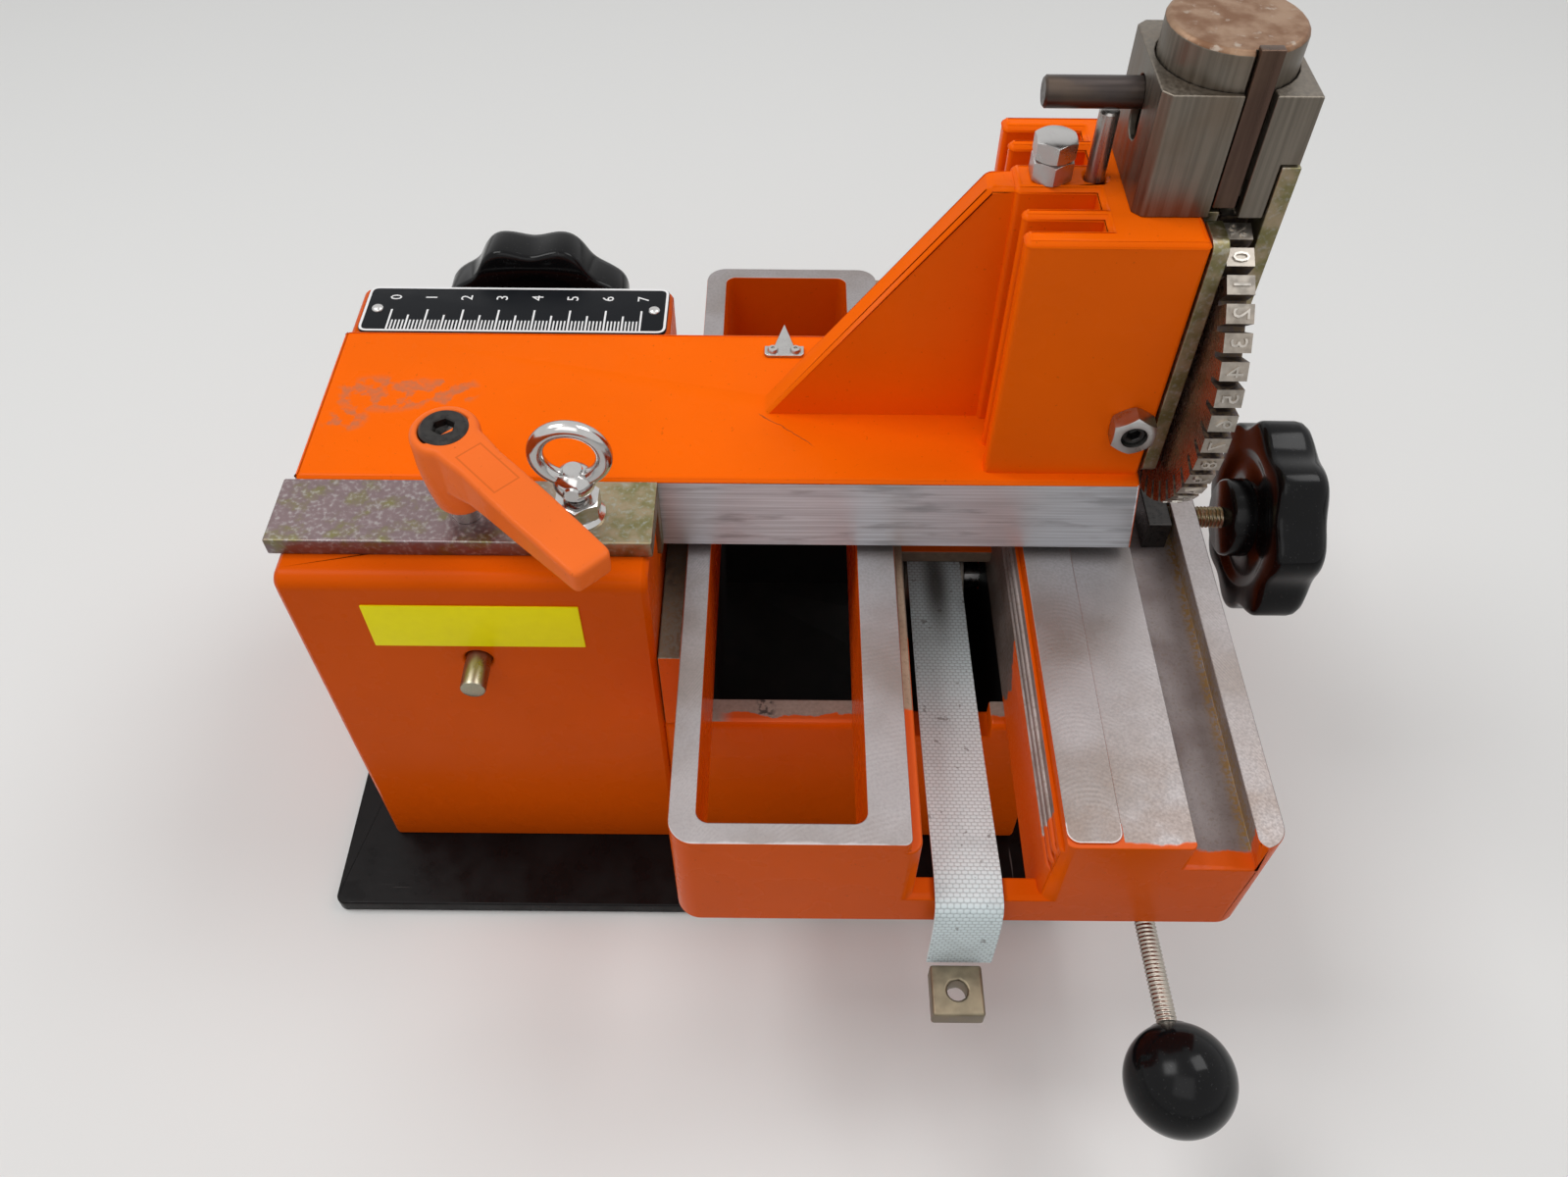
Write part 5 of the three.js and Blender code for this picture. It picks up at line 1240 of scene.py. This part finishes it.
class MARKER_OT_eye_bolt(bpy.types.Operator):
    """Eye bolt with its flanged nut"""

    bl_idname = "marker.eye_bolt"
    bl_label = "Eye bolt"

    def execute(self, context):
        low, high, middle = extents("eye_bolt")
        foot, nut_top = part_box("eye_bolt_nut")[0].z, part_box("eye_bolt_nut")[1].z
        centre = (middle.x, middle.y)
        steel = made_once(polished, "polished_steel", colours().bright_steel, 0.10)
        ball = [(0.0, low.z), (0.0024, low.z), (0.0024, nut_top + 0.0012), (0.0038, nut_top + 0.0018)]
        turn = np.linspace(-0.75, 1.05, 10)
        ball += [*zip(0.0050 * np.cos(turn), nut_top + 0.0050 + 0.0040 * np.sin(turn))]
        ball += [(0.0022, nut_top + 0.0091), (0, nut_top + 0.0093)]
        face = middle.y - 0.0051
        flat_profile = [(0, face), (0.0017, face), (0.0021, face + 0.0005), (0, face + 0.0009)]
        flat = turned("y", (middle.x, nut_top + 0.0052), flat_profile, 32)
        shells = [self.ring(low, high, middle, wire=0.002), turned("z", centre, ball), flat]
        settle(build("eye_bolt_ring", shells, steel), "bright_steel", "eye_bolt")
        bore, rim, upper = 0.0026, 0.0062, foot + 0.0014
        flange = [(bore, foot), (rim, foot), (rim, foot + 0.0005), (0.0052, upper), (bore, upper)]
        nut = hexagon("z", centre, 0.010, foot + 0.001, nut_top, bore)
        shells = [turned("z", centre, flange, ring=True), nut]
        settle(build("eye_bolt_flange_nut", shells, steel), "bright_steel", "eye_bolt_nut")
        return {"FINISHED"}

    def ring(self, low, high, middle, wire):
        """A wire bent to a circle: at angle a round it, its surface is R + r cos b from the middle."""
        reach = (high.x - low.x) / 2
        around = np.linspace(0, 2 * np.pi, 64, endpoint=False)[:, None]
        section = np.linspace(0, 2 * np.pi, 24, endpoint=False)[None, :]
        far = reach - wire + wire * np.cos(section)
        x, z = middle.x + far * np.cos(around), high.z - reach + far * np.sin(around)
        return shell(along("y", x, z, middle.y + wire * np.sin(section)), ring=True)


class MARKER_OT_clamp_lever(bpy.types.Operator):
    """Clamp lever with its cap screw and stud"""

    bl_idname = "marker.clamp_lever"
    bl_label = "Clamp lever"

    def execute(self, context):
        low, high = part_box("clamp_lever")
        stud_low, stud_high, middle = extents("lever_stud")
        foot, top = low.z, high.z
        cos, sin = math.cos(-LEVER_TURN), math.sin(-LEVER_TURN)

        def place(points):
            """Turns points about the stud by the lever's angle."""
            x = middle.x + points[:, 0] * cos - points[:, 1] * sin
            y = middle.y + points[:, 0] * sin + points[:, 1] * cos
            return np.stack([x, y, points[:, 2]], 1)

        drawn_height = 0.0232
        hub = [(0, 0), (4.6, 0), (5.7, 0.5), (6.3, 1.6), (7.1, 6.0), (7.7, 11.0), (8.0, 15.0), (8.0, 21.6)]
        hub += [(7.7, 22.6), (6.9, 23.2), (6.15, 23.2), (5.9, 22.9), (5.85, 20.7), (0, 20.7)]
        profile = [(r * MM, foot + h * MM * (top - foot) / drawn_height) for r, h in hub]
        shells = [moved(turned("z", (0, 0), profile, 64), place), moved(self.arm(top), place)]
        blank = build("clamp_lever_blank", shells, made_once(lever_paint))
        settle(self.blended(blank), "orange_paint", "clamp_lever")
        oxide = made_once(black_oxide)
        screw_low, screw_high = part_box("lever_screw")
        centre = (middle.x, middle.y)
        socket = {"across": 0.0046, "depth": 0.0022, "edge": 0.0006}
        cap = socket_screw("z", centre, 0.0056, screw_low.z, screw_high.z, **socket)
        settle(build("lever_cap_screw", [cap], oxide), "black_oxide", "lever_screw")
        shank, spacer = 0.003, 0.0038
        seat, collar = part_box("keeper_bracket")[1].z + 0.0001, foot - 0.0003
        profile = [(0, stud_low.z), (shank, stud_low.z), (shank, seat), (spacer, seat)]
        profile += [(spacer, collar), (shank, collar), (shank, stud_high.z), (0, stud_high.z)]
        steel = made_once(polished, "spacer_steel", (0.42, 0.40, 0.38), 0.22)
        turned_piece("lever_stud", "_turned", "z", profile, "bright_steel", steel)
        return {"FINISHED"}

    def arm(self, top):
        """Rounded sections along the arm: width and depth change with the distance from the hub."""
        stations = np.array([1.0, 8, 14, 22, 32, 46, 51.2, 52.4, 53.0]) * MM
        half = np.array([6.2, 5.9, 5.3, 5.5, 5.5, 5.2, 5.1, 4.8, 4.1]) * MM
        high = top - np.array([0.05, 0.2, 0.4, 0.65, 0.95, 1.35, 1.55, 1.85, 2.5]) * MM
        low = top - np.array([14.6, 13.2, 11.6, 10.2, 9.3, 8.5, 8.3, 8.0, 7.3]) * MM
        narrower_below = 0.06
        unit = corner_curves(UNIT_SQUARE, reach=0.22, steps=5)
        y = unit[None, :, 0] * half[:, None] * (1 - narrower_below * (1 - unit[None, :, 1]) / 2)
        z = (high + low)[:, None] / 2 + unit[None, :, 1] * (high - low)[:, None] / 2
        x = np.broadcast_to(stations[:, None], y.shape)
        return shell(np.stack([x, y, z], -1))

    def blended(self, blank):
        """The hub and arm become one skin: small cells, then a little smoothing for the cast fillets."""
        cells = blank.modifiers.new("Cells", "REMESH")
        cells.mode = "VOXEL"
        cells.voxel_size = 0.00042
        smooth = blank.modifiers.new("Fillets", "SMOOTH")
        smooth.factor = 0.5
        smooth.iterations = 7
        mesh = evaluated_mesh(blank)
        mesh.name = "clamp_lever_cast"
        if not mesh.materials:
            mesh.materials.append(made_once(lever_paint))
        mesh.shade_smooth()
        bpy.data.objects.remove(blank)
        return link("clamp_lever_cast", mesh)


class MARKER_OT_knobs(bpy.types.Operator):
    """Lobed knobs of the side and rear screws, the screws, and the jaw that the side screw moves"""

    bl_idname = "marker.knobs"
    bl_label = "Knobs"

    def execute(self, context):
        plastic = made_once(knob_plastic)
        zinc_finish = made_once(zinc, "screw_zinc")
        for node, axis in (("side_knob", "x"), ("rear_knob", "y")):
            start, end = (getattr(corner, axis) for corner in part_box(node))
            made = self.knob(axis, middle_line(node, axis), start, end)
            settle(build(node + "_moulded", [made], plastic, crease=50), "knob_plastic", node)
        low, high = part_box("side_screw")
        centre = middle_line("side_screw", "x")
        radius, depth = 0.003, 0.0004
        made = threaded("x", centre, radius, depth, sizes().rod_pitch, low.x, high.x)
        settle(build("side_screw_threaded", [made], zinc_finish), "zinc_plate", "side_screw")
        dress(zinc_finish, "rear_screw")
        softened("clamp_jaw", "black_oxide", [made_once(black_oxide)], edge=0.0003)
        return {"FINISHED"}

    def knob(self, axis, centre, start, end):
        """Rings from the hub's end over the dish, the rim and the face, in millimetres from the start.

        The radius loses the lobe's size times the cosine of eight times the angle, more towards the rim.
        """
        full, thickness, lobes, sides = (end - start) / MM, 14, 8, 160
        hub = full - thickness
        rim, inner, outer, lobe_root = 26.2, 1.6, 4.4, 19.0
        turn = np.radians([0, 22, 45, 68, 90])
        profile = [(0, 0), (9.8, 0), (10.4, 0.5), (10.6, 1.2), (10.7, hub + 0.5), (11.6, hub + 1.1)]
        profile += [(15.5, hub + 1.2), (17.0, hub + 0.9), (18.6, hub + 0.2), (19.6, hub)]
        profile += [*zip(rim - inner + inner * np.sin(turn), hub + inner * (1 - np.cos(turn)))]
        profile += [*zip(rim - outer + outer * np.cos(turn), full - outer * (1 - np.sin(turn)))]
        profile += [(17.5, full - 0.05), (16.0, full - 0.6), (8.0, full - 0.6), (0, full - 0.6)]
        profile = np.array(profile) * MM
        share = np.clip((profile[:, :1] - lobe_root * MM) / ((rim - lobe_root) * MM), 0, 1)
        radius = profile[:, :1] - sizes().knob_lobe * share * np.cos(lobes * circle(sides))
        return shell(rings(axis, centre, radius, start + profile[:, 1:]))


class MARKER_OT_ram(bpy.types.Operator):
    """Ram with its key, guide block and pins, and the stop bolt"""

    bl_idname = "marker.ram"
    bl_label = "Ram"

    def execute(self, context):
        block = made_once(brushed, "ground_block", colours().ground_steel, (1100, 1100, 26), 0.4, 0.42)
        softened("ram_guide", "dark_steel", [block], edge=0.00035)
        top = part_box("ram")[1].z

        def face(middle, normal):
            return int(normal.z > 0.6 and middle.z > top - 0.002)

        softened("ram", "dark_steel", [block, made_once(rusty_top)], edge=0.0003, choose=face)
        key = made_once(brushed, "key_steel", (0.085, 0.052, 0.040), (700, 700, 24), 0.4, 0.32)
        softened("ram_key", "dark_steel", [key], edge=0.0003)
        self.pins()
        self.stop()
        dress(made_once(polished, "spring_steel", colours().bright_steel), "ram_spring")
        return {"FINISHED"}

    def pins(self):
        """Round pins with a bevelled end."""
        low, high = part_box("striker_pin")
        radius, edge = (high.z - low.z) / 2, 0.0005
        profile = [(0, low.x), (radius - edge, low.x), (radius, low.x + edge)]
        profile += [(radius, high.x), (0, high.x)]
        dark = made_once(brushed, "striker_steel", (0.055, 0.045, 0.042), (30, 800, 800), 0.4, 0.36)
        turned_piece("striker_pin", "_turned", "x", profile, "dark_steel", dark)
        low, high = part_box("step_pin")
        radius, edge = (high.x - low.x) / 2, 0.0004
        profile = [(0, low.z), (radius, low.z), (radius, high.z - edge)]
        profile += [(radius - edge, high.z), (0, high.z)]
        ground = made_once(brushed, "step_pin_steel", (0.38, 0.36, 0.34), (900, 900, 40), 0.1, 0.28)
        turned_piece("step_pin", "_turned", "z", profile, "bright_steel", ground)

    def stop(self):
        """A bolt with a hexagonal head, locked by a nut of the same width."""
        bright = plated_steel()
        nut_low, nut_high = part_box("stop_nut")
        low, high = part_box("stop_bolt")
        centre = middle_line("stop_nut", "z")
        across, shank, inside = nut_high.x - nut_low.x, 0.003, nut_high.z + 0.001
        head = hexagon("z", centre, across, nut_high.z, high.z)
        rod = turned("z", centre, [(0, low.z), (shank, low.z), (shank, inside), (0, inside)])
        settle(build("stop_bolt_hexagon", [head, rod], bright), "bright_steel", "stop_bolt")
        nut = hexagon("z", centre, across, nut_low.z, nut_high.z - 0.0001, bore=0.0032)
        settle(build("stop_nut_hexagon", [nut], bright), "bright_steel", "stop_nut")


class MARKER_OT_type_wheel(bpy.types.Operator):
    """Type wheel with its letters, the two plates beside it, its axle and the detent"""

    bl_idname = "marker.type_wheel"
    bl_label = "Type wheel"

    def execute(self, context):
        middle = extents("type_wheel")[2]
        finger_top = 0.0410
        side, finger, shaded_gap = range(3)

        def face(centre, normal):
            if abs(normal.x) > 0.5:
                return side
            return finger if math.hypot(centre.y - middle.y, centre.z - middle.z) > finger_top else shaded_gap

        bright = made_once(brushed, "letter_steel", colours().type_steel, (500, 500, 500), 0.25, 0.34)
        # The roots between the fingers are made nearly black: painted shade of the narrow gaps.
        root = made_once(stained_iron, "root_steel", (0.060, 0.048, 0.052), 0.3)
        softened("type_wheel", "type_steel", [made_once(wheel_side), bright, root], choose=face)
        self.letters()
        yellow = made_once(zinc, "plate_zinc")
        for node in ("inner_wheel_plate", "outer_wheel_plate"):
            softened(node, "zinc_plate", [yellow], edge=0.0003)
        self.plate_screws()
        low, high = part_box("wheel_axle")
        shank, head, seat = 0.004, 0.006, high.x - 0.0025
        profile = [(0, low.x), (shank, low.x), (shank, seat), (head, seat)]
        profile += [(head, high.x - 0.0004), (head - 0.0004, high.x), (0, high.x)]
        steel = axle_steel()
        turned_piece("wheel_axle", "_turned", "x", profile, "bright_steel", steel, about="type_wheel")
        self.detent()
        return {"FINISHED"}

    def letters(self):
        """Character i lies flat on finger i, in mirror writing: its right goes round, its top points left."""
        low, high, middle = extents("type_wheel")
        sunk, half_finger, top_finger = 0.00005, 0.00165, 18
        radius = (high.z - low.z) / 2 - sunk
        origin = np.array([low.x + 0.003, middle.y, middle.z])
        shells = []
        step = 2 * math.pi / len(CHARACTERS)
        for number, text in enumerate(CHARACTERS):
            angle = math.pi / 2 - top_finger * step + number * step
            glyph, faces = lettering(text, sizes().letter_height, 2 * sizes().letter_relief)
            narrow = min(1.0, half_finger / np.abs(glyph[:, 0]).max())
            outwards = np.array([0, -math.cos(angle), -math.sin(angle)])
            onwards = np.array([0, math.sin(angle), -math.cos(angle)])
            points = origin + (glyph[:, 2:] + radius) * outwards
            points = points + glyph[:, :1] * narrow * onwards - glyph[:, 1:2] * [1, 0, 0]
            shells.append((points, faces))
        raised = made_once(brushed, "raised_type", (0.50, 0.465, 0.42), (400, 400, 400), 0.2, 0.3)
        settle(build("type_letters", shells, raised, crease=30), "type_steel", body="type_wheel")

    def plate_screws(self):
        """The outer plate's two socket screws, with a head and a thin shank."""
        shank = 0.0012
        socket = {"across": 0.002, "depth": 0.001, "edge": 0.0003}
        for node in ("outer_plate_screw_front", "outer_plate_screw_rear"):
            low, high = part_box(node)
            centre = middle_line(node, "x")
            head = socket_screw("x", centre, 0.0023, high.x - 0.002, high.x, **socket)
            inside = high.x - 0.0015
            rod = turned("x", centre, [(0, low.x), (shank, low.x), (shank, inside), (0, inside)], 24)
            settle(build(node + "_socket", [head, rod], made_once(black_oxide)), "black_oxide", node)

    def detent(self):
        """The detent's nut and the grub screw in it."""
        low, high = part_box("detent_nut")
        centre = middle_line("detent_nut", "y")
        nut = hexagon("y", centre, high.x - low.x, high.y, low.y, bore=0.0031)
        settle(build("detent_nut_hexagon", [nut], plated_steel()), "bright_steel", "detent_nut")
        low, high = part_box("detent_screw")
        grub = socket_screw("y", centre, 0.0029, high.y, low.y, across=0.003, depth=0.0025)
        settle(build("detent_grub_screw", [grub], made_once(black_oxide)), "black_oxide", "detent_screw")


class MARKER_OT_draw_band(bpy.types.Operator):
    """Woven draw band with its nut block, and the drum it winds on"""

    bl_idname = "marker.draw_band"
    bl_label = "Draw band"

    def execute(self, context):
        path, lengths = self.path()
        drum = extents("band_drum")[2]
        band = self.woven(path, lengths, drum)
        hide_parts("draw_band")
        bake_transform(band)
        brass = made_once(brushed, "nut_block_steel", (0.21, 0.175, 0.12), (300, 300, 300), 0.5, 0.4)
        block = softened("band_nut_block", "dark_steel", [brass], edge=0.0007)
        softened("band_drum", "dark_steel", [drum_steel()], edge=0.0004)
        dress(axle_steel(), "drum_axle")
        return {"FINISHED"}

    def woven(self, path, lengths, drum):
        """A rounded section carried along the path; its curl is the place's cosine times across squared."""
        slant, thinner, curl_height, curl_turns = 0.014, 0.62, 0.00025, 9
        unit = corner_curves(UNIT_SQUARE, reach=0.06, steps=3)
        ahead = np.gradient(path, axis=0)
        ahead /= np.linalg.norm(ahead, axis=1, keepdims=True)
        up = np.stack([-ahead[:, 1], ahead[:, 0]], 1)
        up *= np.sign(up[:, 1:] + 1e-9)
        middle_x = drum.x + slant * (path[:, 0] - drum.y)
        curl = curl_height * np.cos(np.linspace(0, curl_turns, len(path)))[:, None] * unit[None, :, 0] ** 2
        beside = unit[None, :, 0] * BAND_WIDTH / 2
        x = middle_x[:, None] + beside
        rise = unit[None, :, 1] * BAND_THICKNESS / 2 * thinner + curl
        y = path[:, :1] + up[:, :1] * rise
        z = path[:, 1:] + up[:, 1:] * rise
        across = np.stack(np.broadcast_arrays(beside + BAND_WIDTH, lengths[:, None]), -1).reshape(-1, 2)
        points = np.stack([x, y, z], -1)
        return build("woven_band", [shell(points)], made_once(webbing), crease=60, across=across)

    def path(self):
        """The band's middle line in (y, z), and the length along it at each point.

        It is a quadratic from the drum's top to the bridge, a straight, and a cubic down to the nut block.
        """
        drum = extents("band_drum")[2]
        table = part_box("table_casting")[0]
        drum_radius, bridge, lift, sag, drop = 0.019, 0.0118, 0.00035, 0.0052, 0.024
        above = lift + BAND_THICKNESS / 2
        front, high = table.y, table.z + bridge + above
        start = np.array([drum.y, drum.z + drum_radius + above])
        over = np.array([front + 0.0062, high])
        lip = np.array([front, high])
        sagged = (start + over) / 2 - [0, sag]
        t = np.linspace(0, 1, 70)[:, None]
        first = (1 - t) ** 2 * start + 2 * t * (1 - t) * sagged + t**2 * over
        straight = over + (lip - over) * np.linspace(0, 1, 8)[1:, None]
        second = np.array([front - 0.0032, high])
        third = np.array([front - 0.0046, high - 0.0032])
        end = np.array([front - 0.0055, high - drop])
        t = np.linspace(0, 1, 30)[1:, None]
        last = (1 - t) ** 3 * lip + 3 * t * (1 - t) ** 2 * second + 3 * t**2 * (1 - t) * third + t**3 * end
        path = np.concatenate([first, straight, last])
        steps = np.linalg.norm(np.diff(path, axis=0), axis=1)
        return path, np.concatenate([[0], np.cumsum(steps)])


class MARKER_OT_ball_lever(bpy.types.Operator):
    """Ball lever with its threaded rod, and the fittings under the table"""

    bl_idname = "marker.ball_lever"
    bl_label = "Ball lever"

    def execute(self, context):
        pivot = extents("lever_pivot")[2]
        origin = np.array([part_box("lever_bracket")[0].x + 0.0165, pivot.y, pivot.z])
        tilt, swing = math.radians(4.65), math.radians(3.4)
        turn = np.array(Matrix.Rotation(tilt, 3, "X") @ Matrix.Rotation(swing, 3, "Z"))

        def place(points):
            """Tilts and swings points as the rod stands, and moves them to the pivot."""
            return origin + points @ turn.T

        radius, depth, near_end, far_end = 0.0026, 0.00038, -0.0041, -0.0565
        rod = threaded("y", (0, 0), radius, depth, sizes().rod_pitch, near_end, far_end)
        steel = made_once(polished, "rod_steel", (0.42, 0.38, 0.33), 0.24)
        piece = build("lever_rod_threaded", [moved(rod, place)], steel, crease=80)
        settle(piece, "zinc_plate", "lever_rod")
        ball = moved(turned("y", (0, 0), self.ball_profile(), 64), place)
        plastic = made_once(knob_plastic)
        settle(build("ball_knob_moulded", [ball], plastic, crease=50), "knob_plastic", "ball_knob")
        oxide = made_once(black_oxide)
        softened("lever_bracket", "black_oxide", [oxide], edge=0.0003)
        softened("release_lever", "black_oxide", [oxide], edge=0.0002)
        dress(axle_steel(), "lever_pivot")
        softened("feed_rack", "dark_steel", [drum_steel()])
        return {"FINISHED"}

    def ball_profile(self):
        """A circle from the ball's far end to its flat, and the rod's hole inside the flat."""
        radius, flat, middle, hole = 0.013, 0.0045, -0.0605, 0.0029
        end = math.pi - math.asin(flat / radius)
        turn = np.linspace(0, end, 40)
        round_part = zip(radius * np.sin(turn), middle - radius * np.cos(turn))
        last = middle - radius * math.cos(end)
        face, foot = last + 0.0003, last - 0.004
        return [*round_part, (flat - 0.0004, face), (hole, face), (hole, foot), (0, foot)]


class MARKER_PT_pieces(bpy.types.Panel):
    """Lists the machine's pieces"""

    bl_idname = "MARKER_PT_pieces"
    bl_label = "Marking machine"
    bl_space_type = "VIEW_3D"
    bl_region_type = "UI"
    bl_category = "Marking machine"

    def draw(self, context):
        for group in (sizes(), colours()):
            column = self.layout.column(align=True)
            for name in group.__annotations__:
                column.prop(group, name)
        for operator in OPERATORS:
            self.layout.operator(operator.bl_idname)


OPERATORS = (
    MARKER_OT_stage,
    MARKER_OT_castings,
    MARKER_OT_guides,
    MARKER_OT_scale,
    MARKER_OT_front_fittings,
    MARKER_OT_eye_bolt,
    MARKER_OT_clamp_lever,
    MARKER_OT_knobs,
    MARKER_OT_ram,
    MARKER_OT_type_wheel,
    MARKER_OT_draw_band,
    MARKER_OT_ball_lever,
)
CLASSES = (MachineSizes, MachineColours, *OPERATORS, MARKER_PT_pieces)


def register():
    for made in CLASSES:
        bpy.utils.register_class(made)
    bpy.types.Scene.marking_machine_sizes = bpy.props.PointerProperty(type=MachineSizes)
    bpy.types.Scene.marking_machine_colours = bpy.props.PointerProperty(type=MachineColours)


def unregister():
    del bpy.types.Scene.marking_machine_colours
    del bpy.types.Scene.marking_machine_sizes
    for made in reversed(CLASSES):
        bpy.utils.unregister_class(made)


def main():
    register()
    for operator in OPERATORS:
        group, name = operator.bl_idname.split(".")
        getattr(getattr(bpy.ops, group), name)()


if __name__ == "__main__":
    main()
